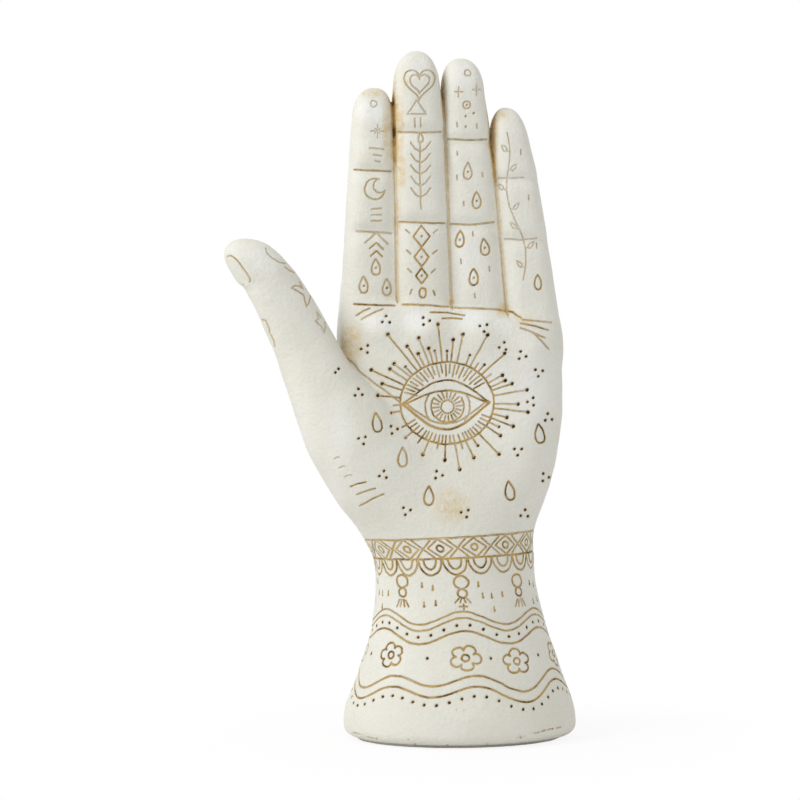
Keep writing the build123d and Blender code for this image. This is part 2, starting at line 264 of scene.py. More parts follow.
@dataclass(frozen=True)
class Trunk:
    """Cuff and palm: one stack of ovals from the foot to the knuckles, with the flesh of the palm on it."""

    floor: float
    knuckles: KnuckleSeam
    pads: tuple[float, ...]
    half_width: Profile = Profile((1.2, 8.2, 25.1, 42.0, 59.0, 70.0, 76.0, 98.0, 124.0, 150.0, 160.0, 168.9),
                                  (44.6, 44.6, 39.2, 33.8, 30.9, 31.0, 32.2, 37.5, 43.0, 42.4, 41.0, 39.6))
    half_depth: Profile = Profile((1.2, 8.2, 25.1, 42.0, 59.0, 76.0, 98.0, 124.0, 150.0, 168.9),
                                  (35.0, 35.0, 30.8, 26.5, 23.8, 23.0, 20.5, 17.0, 14.0, 11.8))
    shift: Profile = Profile((8.2, 42.0, 59.0, 70.0, 76.0, 98.0, 124.0),
                             (0.3, 0.0, -1.3, -2.4, -3.8, -3.6, -3.6))
    fullness: Profile = Profile((76.0, 98.0, 124.0, 150.0, 168.9), (2.0, 2.4, 2.4, 2.9, 2.9))
    edge: float = 4.0
    side_turn: float = 7.0
    edge_pad: Mound = Mound(2.6, (27.0, 110.0), (14.0, 24.0))
    hollow: Mound = Mound(-2.2, (-1.0, 127.0), (17.0, 19.0))
    root_pad: Mound = Mound(2.0, (0.0, -9.0), (7.5, 7.0))
    knuckle: Mound = Mound(1.5, (0.0, -1.0), (6.0, 8.0))
    back_fall: float = 1.9
    back_span: Point = (-26.0, 0.0)
    tendon_rise: float = 0.7
    tendon_width: float = 3.0
    tendon_gather: float = 0.6
    tendon_spread: Point = (110.0, 160.0)
    tendon_start: Point = (105.0, 135.0)
    tendon_end: Point = (2.0, 12.0)
    lid_rise: float = 1.0
    lid_round: float = 4.0

    def section(self, height: Array) -> tuple[Array, Array, Array, Array]:
        """Half width, half depth, middle and fullness of the oval at a height.

        Args:
            height: above the floor.

        Returns:
            The four, in that order.
        """
        lift = np.clip(self.floor + self.edge - height, 0.0, self.edge)
        inset = self.edge - np.sqrt(self.edge**2 - lift**2)
        return (self.half_width.at(height) - inset, self.half_depth.at(height) - inset,
                self.shift.at(height), self.fullness.at(height))

    def relief(self, across: Array, deep: Array, height: Array) -> Array:
        """Flesh added to the plain ovals: the edge of the hand, pads under the fingers, hollow and knuckles.

        Args:
            across: places across the hand.
            deep: places through it, negative at the palm.
            height: above the floor.

        Returns:
            Millimetres added there.
        """
        front = ease(-deep, 0.0, self.side_turn)
        back = ease(deep, 0.0, self.side_turn)
        up = height - self.knuckles.at(across)
        flesh = self.edge_pad.at(across, height) + self.hollow.at(across, height)
        bones = -self.back_fall * ease(up, *self.back_span)
        spread = self.tendon_gather + (1.0 - self.tendon_gather) * ease(height, *self.tendon_spread)
        for pad in self.pads:
            flesh = flesh + self.root_pad.at(across - pad, up)
            bones = bones + self.knuckle.at(across - pad, up)
            tendon = self.tendon_rise * bump(across - pad * spread, self.tendon_width)
            bones = bones + tendon * ease(height, *self.tendon_start) * ease(-up, *self.tendon_end)
        return front * flesh + back * bones

    def distance(self, points: Array) -> Array:
        """Signed distance of points from the trunk.

        Args:
            points: where.

        Returns:
            Distances, negative inside.
        """
        across, deep, height = np.moveaxis(points, -1, 0)
        wide, thick, middle, full = self.section(height)
        gap = oval_distance(across - middle, deep, wide, thick, full) - self.relief(across, deep, height)
        lid = (height - self.knuckles.at(across) - self.lid_rise) * math.cos(self.knuckles.tilt)
        return smooth_max(gap, lid, self.lid_round)


@dataclass(frozen=True)
class ThumbLine:
    """Ball and thumb: ovals square to one leaning axis through the seam between them."""

    seam: Place = (-60.8, -8.0, 150.0)
    lean: float = math.radians(32.0)
    forward: float = math.radians(6.0)
    tip: float = 46.8
    dome: float = 11.6
    foot_end: float = -83.0
    foot_dome: float = 14.0
    fullness: float = 2.25
    nail_foot: float = 30.8
    nail_step: float = 4.0
    nail_step_span: Point = (0.6, -1.2)
    shaft_clear: float = 16.0
    shaft_span: Point = (24.0, -8.0)
    nail_round: float = 0.7
    nail_turn: float = math.radians(29.0)
    nail_reach: Profile = Profile((29.0, 32.0, 38.0, 43.0, 48.0), (9.9, 9.0, 8.0, 6.6, 4.6))
    half_width: Profile = Profile(
        (-95.0, -83.0, -72.0, -60.0, -52.0, -37.0, -16.0, 0.0, 15.0, 26.0, 29.5, 33.0, 37.0),
        (7.0, 10.8, 14.1, 17.5, 18.34, 18.2, 13.3, 11.6, 10.6, 9.7, 9.3, 9.5, 9.0))
    half_depth: Profile = Profile((-95.0, -83.0, -72.0, -60.0, -37.0, -16.0, 0.0, 15.0, 28.0, 37.0),
                                  (7.0, 11.0, 13.8, 15.8, 16.0, 13.4, 11.2, 10.2, 9.6, 9.0))
    drift: Profile = Profile(
        (-83.0, -72.0, -60.0, -52.0, -37.0, -16.0, 0.0, 15.0, 26.0, 29.5, 33.0, 37.0, 40.5, 44.5, 48.0),
        (-1.6, -2.3, -2.8, -2.23, -1.8, -2.1, 0.1, 1.4, 1.6, 1.4, 0.5, -0.25, -1.05, -2.4, -3.0))
    sag: Profile = Profile((-83.0, -37.0, 0.0), (-3.7, -2.9, 0.0))

    @property
    def axes(self) -> tuple[Array, Array, Array]:
        """Unit vectors across the thumb, through it to the back, and along it.

        Returns:
            The three, in that order.
        """
        side = math.sin(self.lean)
        rise = math.cos(self.lean)
        tilt = math.sin(self.forward)
        level = math.cos(self.forward)
        return (np.array([rise, 0.0, side]), np.array([-tilt * side, level, tilt * rise]),
                np.array([-side * level, -tilt, rise * level]))

    def local(self, points: Array) -> tuple[Array, Array, Array]:
        """Offsets across and through the thumb from its middle, and the place along it.

        Args:
            points: where.

        Returns:
            The three, in that order.
        """
        across, deep, along = self.axes
        offset = points - np.array(self.seam)
        place = offset @ along
        return offset @ across - self.drift.at(place), offset @ deep - self.sag.at(place), place

    def shape(self, points: Array) -> tuple[Array, Array, Array]:
        """Distances from the round thumb and from the flat of its nail, and the place along it.

        Args:
            points: where.

        Returns:
            The three, in that order.
        """
        across, deep, along = self.local(points)
        cap = np.maximum(along - (self.tip - self.dome), 0.0) / self.dome
        foot = np.maximum(self.foot_end - along, 0.0) / self.foot_dome
        slope = np.where(cap > 0.0, 1.0 / self.dome, 1.0 / self.foot_dome)
        round_thumb = oval_distance(across, deep, self.half_width.at(along), self.half_depth.at(along),
                                    self.fullness, np.hypot(cap, foot), slope)
        step_low, step_high = (self.nail_foot + offset for offset in self.nail_step_span)
        below = self.nail_step * ease(along, step_low, step_high)
        below = below + self.shaft_clear * ease(along, *self.shaft_span)
        toward = -across * math.cos(self.nail_turn) - deep * math.sin(self.nail_turn)
        flat = toward - self.nail_reach.at(along) - below
        return round_thumb, flat, along

    def distance(self, points: Array) -> Array:
        """Signed distance of points from the ball and thumb."""
        round_thumb, flat, _ = self.shape(points)
        return smooth_max(round_thumb, flat, self.nail_round)


class PalmSide(Enum):
    """Sides of the fold between the palm and the ball of the thumb."""

    BOTH = 0
    TRUNK = 1
    BALL = 2


@dataclass(frozen=True)
class Hand:
    """The whole solid, and what is read off it."""

    trunk: Trunk
    thumb: ThumbLine
    fingers: tuple[Finger, ...]
    fold_soft: float = 9.0
    fold_sharpening: float = 7.4
    fold_span: Point = (106.0, 134.0)
    fingers_from: float = 130.0
    web_soft: float = 5.2
    web_sharpening: float = 3.8
    web_span: Point = (196.0, 232.0)
    root_soft: float = 3.0
    root_back_soft: float = 5.0
    root_back_span: Point = (0.0, 6.0)
    slope_step: float = 0.25
    feelers: tuple[Point, ...] = ((1.2, 0.4), (2.8, 0.35), (6.0, 0.25))

    def palm(self, points: Array, side: PalmSide = PalmSide.BOTH) -> Array:
        """Field of the trunk with the ball and thumb, with a fold that softens to the wrist.

        Past the line where both fields are equal, the field of one side goes on by itself under the other
        side's surface, so that the skins of both cross in that line.

        Args:
            points: where.
            side: the side whose field goes on, or both for the visible surface.

        Returns:
            Signed distances.
        """
        trunk = self.trunk.distance(points)
        thumb = self.thumb.distance(points)
        soft = self.fold_soft - self.fold_sharpening * ease(points[..., 2], *self.fold_span)
        if side is PalmSide.TRUNK:
            thumb = np.maximum(thumb, trunk)
        elif side is PalmSide.BALL:
            trunk = np.maximum(trunk, thumb)
        return smooth_min(trunk, thumb, soft)

    def solid(self, points: Array, side: PalmSide = PalmSide.BOTH) -> Array:
        """Signed distance of points from the hand.

        Args:
            points: where.
            side: as for the palm.

        Returns:
            Distances, negative inside.
        """
        whole = self.palm(points, side)
        high = points[..., 2] > self.fingers_from
        if not high.any():
            return whole
        some = points[high]
        soft = self.web_soft - self.web_sharpening * ease(some[:, 2], *self.web_span)
        row = self.fingers[0].distance(some)
        for finger in self.fingers[1:]:
            row = smooth_min(row, finger.distance(some), soft)
        whole = whole.copy()
        root = self.root_soft + self.root_back_soft * ease(some[:, 1], *self.root_back_span)
        whole[high] = smooth_min(whole[high], row, root)
        return whole

    def normals(self, points: Array) -> Array:
        """Outward unit normals, from the slope of the field over four steps to the corners of a tetrahedron.

        Args:
            points: where.

        Returns:
            Normals there.
        """
        total = np.zeros_like(points)
        for corner in ((1, -1, -1), (-1, -1, 1), (-1, 1, -1), (1, 1, 1)):
            way = np.array(corner, dtype=float)
            total += way * self.solid(points + way * self.slope_step)[:, None]
        return total / (np.linalg.norm(total, axis=1, keepdims=True) + QUOTIENT_GUARD)

    def hidden(self, points: Array, normals: Array) -> Array:
        """How closed in a point is, from 0 in the open to 1 deep in a fold.

        Args:
            points: where.
            normals: outward normals there.

        Returns:
            Shares there, from feelers of three lengths.
        """
        total = np.zeros(len(points))
        for reach, weight in self.feelers:
            clear = self.solid(points + normals * reach)
            total += weight * np.clip(1.0 - clear / reach, 0.0, 1.0)
        return total


class Mark(Enum):
    """Cuts of the carving tools: half width, depth and strength of the wash left in the cut."""

    HAIR = (0.22, 0.14, 0.46)
    FINE = (0.27, 0.26, 0.72)
    LINE = (0.31, 0.34, 0.88)
    BOLD = (0.39, 0.44, 0.98)
    DOT = (0.42, 0.42, 1.12)
    SPECK = (0.52, 0.50, 1.18)
    PIT = (0.68, 0.70, 1.30)


@dataclass
class Chart:
    """A flat map of a skin: each vertex's coordinates, millimetres per unit across, and what faces it."""

    across: Array
    up: Array
    stretch: Array
    facing: Array


@dataclass
class Sheet:
    """What is carved and stained on a skin, for each vertex; stain below zero is a painted highlight.

    Line is how close a cut's middle is: 1 on it, two thirds at the cut's edge and 0 at three half widths. It
    runs straight across a mesh face, so that the finish can draw an edge finer than the mesh.
    """

    depth: Array
    line: Array
    wash: Array
    stain: Array

    @classmethod
    def blank(cls, count: int) -> "Sheet":
        """A sheet with nothing on it."""
        return cls(np.zeros(count), np.zeros(count), np.zeros(count), np.zeros(count))

    def mark(self, where: Array, depth: Array, line: Array, wash: Array) -> None:
        """Add a cut at some vertices: the deeper depth holds, and the nearer cut gives the wash.

        Args:
            where: numbers of the vertices.
            depth: of the cut at each.
            line: closeness of its middle to each.
            wash: strength of the wash at each.
        """
        self.depth[where] = np.maximum(self.depth[where], depth)
        self.wash[where] = np.where(line > self.line[where], wash, self.wash[where])
        self.line[where] = np.maximum(self.line[where], line)

    def lay(self, over: "Sheet") -> None:
        """Add all cuts of another sheet."""
        self.mark(np.arange(len(self.depth)), over.depth, over.line, over.wash)


def closeness(gap: Array, width: float) -> Array:
    """How close a cut's middle is, from its distance and the cut's half width."""
    return np.clip(1.0 - gap / (CUT_REACH * width), 0.0, 1.0)


@dataclass
class Stroke:
    """A cut along a line of points."""

    path: Array
    mark: Mark
    strength: float = 1.0
    rim: float = 1.25
    bed: float = 0.25

    def cut(self, chart: Chart, sheet: Sheet) -> None:
        """Cut the stroke into a sheet.

        The distance to the stroke is the least of those to its straight pieces, found for all near vertices
        and all pieces at once.

        Args:
            chart: map of the skin.
            sheet: what is carved on it so far.
        """
        width, depth, wash = self.mark.value
        room = CUT_REACH * width
        low = self.path.min(axis=0)
        high = self.path.max(axis=0)
        spread = room / chart.stretch.min()
        near = np.flatnonzero((chart.across > low[0] - spread) & (chart.across < high[0] + spread)
                              & (chart.up > low[1] - room) & (chart.up < high[1] + room)
                              & (chart.facing > LEAST_FACING))
        if not near.size:
            return
        scale = np.stack([chart.stretch[near], np.ones(near.size)], axis=1)[:, None, :]
        places = np.stack([chart.across[near], chart.up[near]], axis=1)
        start = (self.path[None, :-1] - places[:, None]) * scale
        along = (self.path[1:] - self.path[:-1])[None] * scale
        part = np.clip(-(start * along).sum(-1) / ((along * along).sum(-1) + QUOTIENT_GUARD), 0.0, 1.0)
        gap = np.linalg.norm(start + part[..., None] * along, axis=-1).min(axis=1)
        faced = chart.facing[near]
        sheet.mark(near, depth * faced * ease(gap, self.rim * width, self.bed * width), closeness(gap, width),
                   wash * self.strength * faced)


@dataclass
class Drawing:
    """Strokes on one chart, drawn with a slightly unsteady hand."""

    seed: int
    unsteady: float = 0.05
    pressure: Point = (0.55, 1.12)
    unit: float = 1.0
    spacing: float = 0.9
    shake: tuple[float, ...] = (0.3, 0.5, 0.6, 0.5, 0.3)
    prick: float = 0.05
    strokes: list[Stroke] = field(default_factory=list)

    def __post_init__(self) -> None:
        """Start the random draws."""
        self.chance = np.random.default_rng(self.seed)

    def path(self, points: list[Point] | Array, mark: Mark = Mark.LINE, closed: bool = False) -> None:
        """Cut along points, respaced to about a millimetre and shaken a little.

        Args:
            points: corners of the line; across is in chart units.
            mark: the tool.
            closed: whether the line returns to its start.
        """
        corners = np.asarray(points, dtype=float)
        if closed:
            corners = np.vstack([corners, corners[:1]])
        steps = np.hypot((corners[1:, 0] - corners[:-1, 0]) * self.unit, corners[1:, 1] - corners[:-1, 1])
        run = np.concatenate([[0.0], np.cumsum(steps)])
        count = max(2, int(run[-1] / self.spacing) + 1)
        places = np.unique(np.concatenate([np.linspace(0.0, run[-1], count), run]))
        line = np.stack([np.interp(places, run, side) for side in corners.T], axis=1)
        drift = self.chance.normal(0.0, self.unsteady, (len(line) + len(self.shake) - 1, 2))
        shake = sum(weight * drift[step:step + len(line)] for step, weight in enumerate(self.shake))
        shake[:, 0] /= self.unit
        if closed:
            shake[-1] = shake[0]
        self.strokes.append(Stroke(line + shake, mark, self.chance.uniform(*self.pressure)))

    def pit(self, place: Point, mark: Mark = Mark.PIT) -> None:
        """Prick one dot, a stroke too short to see as one."""
        ends = np.array([place, (place[0] + self.prick / self.unit, place[1] + self.prick)], dtype=float)
        self.strokes.append(Stroke(ends, mark))

    def pits(self, places: list[Point], mark: Mark = Mark.PIT) -> None:
        """Prick several dots."""
        for place in places:
            self.pit(place, mark)

    def turned(self, centre: Point, across: Array, up: Array, turn: float = 0.0) -> Array:
        """Outline turned by an angle in degrees and moved to its centre.

        Args:
            centre: where, in chart units.
            across: offsets in millimetres.
            up: offsets in millimetres.
            turn: the angle.

        Returns:
            Points of the outline, in chart units.
        """
        angle = math.radians(turn)
        wide = across * math.cos(angle) - up * math.sin(angle)
        tall = across * math.sin(angle) + up * math.cos(angle)
        return np.stack([centre[0] + wide / self.unit, centre[1] + tall], axis=1)

    def ring(self, centre: Point, half: Point, mark: Mark = Mark.LINE, span: Point = (0.0, 360.0)) -> None:
        """Cut an oval, or an arc of it between two angles in degrees.

        Args:
            centre: its middle.
            half: its half sizes in millimetres.
            mark: the tool.
            span: the two angles.
        """
        angle = np.radians(np.linspace(span[0], span[1], 33))
        line = self.turned(centre, half[0] * np.cos(angle), half[1] * np.sin(angle))
        whole = span[1] - span[0] >= 360.0
        self.path(line[:-1] if whole else line, mark, closed=whole)

    def drop(self, centre: Point, half: Point, turn: float = 0.0, mark: Mark = Mark.LINE,
             dot: bool = False) -> None:
        """Cut a drop, pointed above: across is the sine of an angle times that of its half, up is the cosine.

        Args:
            centre: its middle.
            half: its half sizes in millimetres.
            turn: its lean in degrees.
            mark: the tool.
            dot: whether a dot is pricked in it.
        """
        angle = np.linspace(0.0, 2.0 * np.pi, 25)[:-1]
        shape = np.sin(angle) * np.sin(angle / 2.0) ** 0.9
        self.path(self.turned(centre, half[0] * shape, half[1] * np.cos(angle), turn), mark, closed=True)
        if dot:
            self.pit((centre[0], centre[1] - 0.12 * half[1]), Mark.DOT)

    def trio(self, centre: Point, size: float = 1.7, turn: float = 0.0) -> None:
        """Prick three dots in a triangle.

        Args:
            centre: its middle.
            size: from there to each dot.
            turn: its turn in degrees.
        """
        angle = np.radians(np.array([90.0, 205.0, 330.0]) + turn)
        self.pits([(centre[0] + size * c / self.unit, centre[1] + size * s)
                   for c, s in zip(np.cos(angle), np.sin(angle))], Mark.SPECK)

    def flower(self, centre: Point, radius: float, turn: float = 0.0, mark: Mark = Mark.LINE) -> None:
        """Cut five round petals about a ring: the radius rises and falls five times as the root of a cosine.

        Args:
            centre: its middle.
            radius: of the petals' ends.
            turn: its turn in degrees.
            mark: the tool.
        """
        angle = np.linspace(0.0, 2.0 * np.pi, 81)[:-1]
        reach = radius * (0.60 + 0.40 * np.abs(np.cos(2.5 * angle)) ** 0.55)
        self.path(self.turned(centre, reach * np.cos(angle), reach * np.sin(angle), turn), mark, closed=True)
        self.ring(centre, (0.24 * radius, 0.27 * radius), mark)

    def heart(self, centre: Point, half: float, mark: Mark = Mark.LINE) -> None:
        """Cut a heart: across is a cubed sine, up a sum of four cosines.

        Args:
            centre: its middle.
            half: half its width.
            mark: the tool.
        """
        angle = np.linspace(0.0, 2.0 * np.pi, 41)[:-1]
        lobes = 13.0 * np.cos(angle) - 5.0 * np.cos(2 * angle) - 2.0 * np.cos(3 * angle) - np.cos(4 * angle)
        up = lobes / 15.0
        self.path(self.turned(centre, half * np.sin(angle) ** 3, half * up), mark, closed=True)

    def wrap(self, turn: float) -> None:
        """Repeat strokes that cross the end of the chart at its other end, a whole turn away.

        Args:
            turn: length of the chart.
        """
        for stroke in list(self.strokes):
            for shift in (-turn, turn):
                moved = stroke.path + np.array([shift, 0.0])
                if moved[:, 0].min() < turn / 2.0 and moved[:, 0].max() > -turn / 2.0:
                    self.strokes.append(Stroke(moved, stroke.mark, stroke.strength))

    def carve(self, chart: Chart) -> Sheet:
        """All cuts on a chart.

        Args:
            chart: map of the skin.

        Returns:
            What is carved.
        """
        sheet = Sheet.blank(len(chart.up))
        for stroke in self.strokes:
            stroke.cut(chart, sheet)
        return sheet


@dataclass(frozen=True)
class Easel:
    """The photograph's view, which also places the ornament of the front.

    The eye looks level along a line turned from the front. A point is drawn on an upright plane at a set
    distance from the eye, across and up from the middle of the picture.
    """

    turn: float = math.radians(-8.0)
    target: float = -22.9
    height: float = 129.0
    distance: float = 850.0
    field: float = 305.9
    plane: float = 855.8
    grazing: Point = (0.07, 0.25)

    @property
    def view(self) -> Array:
        """Unit vector along the view."""
        return np.array([-math.sin(self.turn), math.cos(self.turn), 0.0])

    @property
    def eye(self) -> Array:
        """Place of the eye."""
        return np.array([self.target, 0.0, self.height]) - self.distance * self.view

    def chart(self, points: Array, normals: Array) -> Chart:
        """Chart of the front of a skin.

        Args:
            points: its vertices.
            normals: outward normals there.

        Returns:
            Places on the easel's plane, with what looks away from the eye left out.
        """
        offset = points - self.eye
        right = np.array([math.cos(self.turn), math.sin(self.turn), 0.0])
        depth = offset @ self.view
        look = -(normals * offset).sum(axis=1) / np.linalg.norm(offset, axis=1)
        return Chart(offset @ right * self.plane / depth, offset[:, 2] * self.plane / depth,
                     np.ones(len(points)), ease(look, *self.grazing))


@dataclass(frozen=True)
class EyeMotif:
    """The eye on the palm: a rayed ring about two lids and a ringed iris."""

    centre: Point = (18.2, -1.2)
    half: Point = (18.1, 15.8)
    left: Point = (1.0, -1.6)
    right: Point = (34.6, -0.9)
    iris: Point = (18.4, -2.6)
    lids: tuple[tuple[float, float, Mark], ...] = (
        (8.9, 0.0, Mark.LINE), (4.9, 1.0, Mark.LINE), (-8.0, 1.5, Mark.FINE), (-10.2, 0.0, Mark.BOLD))
    iris_radii: Point = (8.6, 6.3)
    pupil: float = 2.5
    below: Point = (200.0, 342.0)
    rays: tuple[Point, ...] = (
        (10, 13), (18, 8), (23, 6), (29, 6), (36, 3), (43, 12), (49, 3.5), (55, 3), (61, 14), (67, 4),
        (78, 11), (85, 8.5), (90, 4), (96, 14.5), (102, 4.5), (107, 6), (112, 11), (118, 5.5), (123, 10),
        (129, 18), (136, 4), (141, 8), (147, 8), (155, 14), (162, 8), (173, 8.5), (183, 2.5), (191, 3.5),
        (211, 2), (223, 3.5), (237, 2.5), (247, 5.5), (259, 2), (268, 6), (280, 10), (287, 2.5), (294, 7),
        (303, 3.5), (313, 11), (326, 6.5), (333, 4), (339, 9), (345, 5.5), (353, 13), (359, 9))

    def spot(self, angle: float, scale: float, reach: float = 0.0) -> Point:
        """Place on the ring at an angle in degrees, scaled about its centre and moved out by a reach.

        Args:
            angle: from the right, upwards.
            scale: 1 is on the ring.
            reach: millimetres outwards.

        Returns:
            The place.
        """
        turn = math.radians(angle)
        return (self.centre[0] + (self.half[0] * scale + reach) * math.cos(turn),
                self.centre[1] + (self.half[1] * scale + reach) * math.sin(turn))

    def lid(self, rise: float, inset: float = 0.0, count: int = 17) -> Array:
        """Line from corner to corner that rises as a sine, a little flattened.

        Args:
            rise: in its middle.
            inset: from each corner.
            count: of points.

        Returns:
            Points of the line.
        """
        part = np.linspace(0.0, 1.0, count)
        across = self.left[0] + inset + part * (self.right[0] - self.left[0] - 2.0 * inset)
        up = self.left[1] + part * (self.right[1] - self.left[1]) + rise * np.sin(np.pi * part) ** 1.1
        return np.stack([across, up], axis=1)

    def draw(self, art: Drawing) -> None:
        """Cut the whole motif.

        Args:
            art: the drawing that it is cut in.
        """
        art.ring(self.centre, self.half, Mark.LINE)
        for rise, inset, mark in self.lids:
            art.path(self.lid(rise, inset), mark)
        for radius in self.iris_radii:
            art.ring(self.iris, (radius, radius), Mark.FINE, (-38.0, 33.0))
            art.ring(self.iris, (radius, radius), Mark.FINE, (147.0, 218.0))
        art.ring(self.iris, (6.3, 6.0), Mark.FINE, (215.0, 325.0))
        art.ring(self.iris, (self.pupil, self.pupil), Mark.FINE)
        for angle in range(0, 360, 18):
            turn = math.radians(angle + 4)
            tall = 5.4 if angle > 180 else 5.9
            art.path([(self.iris[0] + r * math.cos(turn), self.iris[1] + r * math.sin(turn))
                      for r in (3.4, tall)], Mark.FINE)
        for index, angle in enumerate(range(32, 166, 6)):
            art.path([self.spot(angle, 0.94), self.spot(angle, 0.74 if index % 2 else 0.66)], Mark.FINE)
        below = [angle for angle, _ in self.rays if self.below[0] < angle < self.below[1]]
        for first, second in zip(below, below[1:]):
            if second - first > 8:
                middle = (first + second) / 2.0
                art.path([self.spot(middle, 0.97), self.spot(middle, 0.80)], Mark.FINE)
        for angle, reach in self.rays:
            inner = 0.80 if angle in below else 1.01
            art.path([self.spot(angle, inner), self.spot(angle, 1.0, reach)], Mark.FINE)
            if reach > 3.2:
                art.pit(self.spot(angle, 1.0, reach + 0.2), Mark.PIT if reach > 5.0 else Mark.SPECK)


@dataclass
class FrontArt:
    """All ornament of the palm, the fingers and the thumb, placed on the easel's plane."""

    art: Drawing = field(default_factory=lambda: Drawing(SEED))
    eye: EyeMotif = EyeMotif()
    drops: tuple[Point, ...] = ((-8.8, -8.6), (1.1, -22.1), (11.2, -36.9), (42.3, -34.9), (53.8, -12.9))
    trios: tuple[Point, ...] = (
        (-5.3, 30.7), (9.9, 30.4), (32.3, 27.9), (39.8, 20.6), (47, 17.1), (53.5, 10.7), (-13.4, 19.6),
        (-15.9, 2.7), (-2.4, -11.4), (-14.4, -15.4), (-6.4, -28.9), (14.8, -28.9), (45.5, -19.7),
        (50.7, -0.6), (57.2, -6.8), (2.5, -42.7), (25.2, -43.6), (48, -43.9), (55.9, -29.8))
    creases: tuple[tuple[float, float, float, float], ...] = (
        (-17.7, -3.5, 88.6, 0.6), (-16.6, -3.1, 64.9, 0.8), (-17.6, -1.9, 36.9, 0.5),
        (-1.2, 15.8, 103.2, 0.0), (-0.4, 17.3, 68.5, 0.4), (1.0, 18.8, 36.8, 0.9),
        (18.1, 33.5, 100.3, 0.0), (18.9, 36.2, 67.8, -0.6), (19.7, 39.4, 35.6, 1.0),
        (37.3, 47.7, 85.5, -0.2), (40.4, 52.7, 62.0, -0.3), (40.0, 46.7, 34.2, 2.6))
    little_side: float = 36.0
    finger_roots: float = 50.0
    wrinkles: tuple[tuple[Point, Point], ...] = (
        ((-16.8, 32.5), (-11.6, 35.3)), ((-14.7, 31), (-6.4, 35.1)), ((11.7, 33.8), (24.9, 32.7)),
        ((16.3, 31.4), (24, 31.2)), ((46.4, 29.5), (57.2, 27)), ((46.4, 27.7), (55.9, 23.9)),
        ((47.3, 30.7), (58.4, 29.8)), ((51.6, 25.8), (57.2, 19.6)), ((-25.1, -22.7), (-23.3, -22.1)),
        ((-23.3, -26.1), (-21.1, -25.5)), ((-21.4, -29.6), (-18.7, -28.9)), ((-19.1, -33.4), (-13, -31.6)),
        ((-16.6, -36.4), (-9.5, -34.1)), ((-15.4, -40.7), (-6.1, -36.2)))
    short_wrinkle: float = 3.0
    wrinkle_rise: float = 0.25
    chips: tuple[tuple[Point, Point], ...] = (
        ((-17.6, -128.3), (-13.4, -129.5)), ((-12.6, -129.8), (-9.2, -130.5)),
        ((45.0, -130.2), (46.2, -129.7)), ((46.6, -129.8), (48.2, -129.4)),
        ((49.4, -128.9), (50.6, -128.6)), ((51.6, -128.4), (53.6, -127.9)),
        ((54.6, -127.6), (56.0, -127.2)), ((56.8, -127.0), (58.0, -126.6)), ((60.2, -126.2), (61.8, -125.9)))

    def draw(self) -> Drawing:
        """Cut the ornament of the front.

        Returns:
            The drawing, in millimetres on the easel's plane.
        """
        self.eye.draw(self.art)
        for part in (self.palm, self.folds, self.index, self.middle, self.ring, self.little, self.thumb,
                     self.stars, self.foot):
            part()
        return self.art

    def palm(self) -> None:
        """Drops and threes of dots around the eye."""
        art = self.art
        for number, centre in enumerate(self.drops):
            art.drop(centre, (2.3, 3.7), 8.0 if number in (0, 3, 4) else 0.0)
        for number, centre in enumerate(self.trios):
            art.trio(centre, 1.6, 35.0 * number)

    def folds(self) -> None:
        """Creases of the fingers, wrinkles under them, and the strokes and ragged fold of the ball."""
        art = self.art
        for left, right, height, drop in self.creases:
            faint = left > self.little_side and height > self.finger_roots
            middle = ((left + right) / 2.0, height - 0.3)
            art.path([(left, height), middle, (right, height - drop)], Mark.HAIR if faint else Mark.LINE)
        for start, end in self.wrinkles:
            middle = ((start[0] + end[0]) / 2.0, (start[1] + end[1]) / 2.0 + self.wrinkle_rise)
            short = math.dist(start, end) < self.short_wrinkle
            art.path([start, middle, end], Mark.HAIR if short else Mark.FINE)
        art.path([(-20.2, 16), (-17.7, 13.8), (-15.3, 10.7), (-10.4, 7), (-1.2, 0), (1.9, -2.2)], Mark.FINE)

    def index(self) -> None:
        """A ring, a sparkle, bars, a moon, chevrons and three dotted drops."""
        art = self.art
        art.ring((-10.0, 114.0), (1.2, 1.2), Mark.HAIR)
        for turn in range(0, 180, 45):
            reach = 2.6 if turn % 90 == 0 else 1.4
            wide = reach * math.cos(math.radians(turn))
            tall = reach * math.sin(math.radians(turn))
            art.path([(-8.6 - wide, 103.5 - tall), (-8.6 + wide, 103.5 + tall)], Mark.HAIR)
        for height, left, right in ((97.0, -11.6, -6.0), (94.4, -10.2, -7.0), (92.2, -9.6, -7.6)):
            art.path([(left, height), (right, height - 0.5)], Mark.FINE)
        art.ring((-9.6, 81.2), (3.9, 4.0), Mark.LINE, (70.0, 345.0))
        art.ring((-7.6, 82.4), (2.5, 2.7), Mark.LINE, (92.0, 318.0))
        for height in (73.5, 71.2, 68.9):
            art.path([(-11.0, height), (-7.0, height + 0.2)], Mark.FINE)
        for height, half in ((64.4, 4.4), (60.6, 2.6), (57.4, 2.2)):
            art.path([(-9.0 - half, height - 0.9 * half), (-9.0, height), (-9.0 + half, height - half)])
        for place in ((-9.2, 51.2), (-13.9, 44.3), (-5.0, 43.5)):
            art.drop(place, (2.1, 3.2), dot=True)

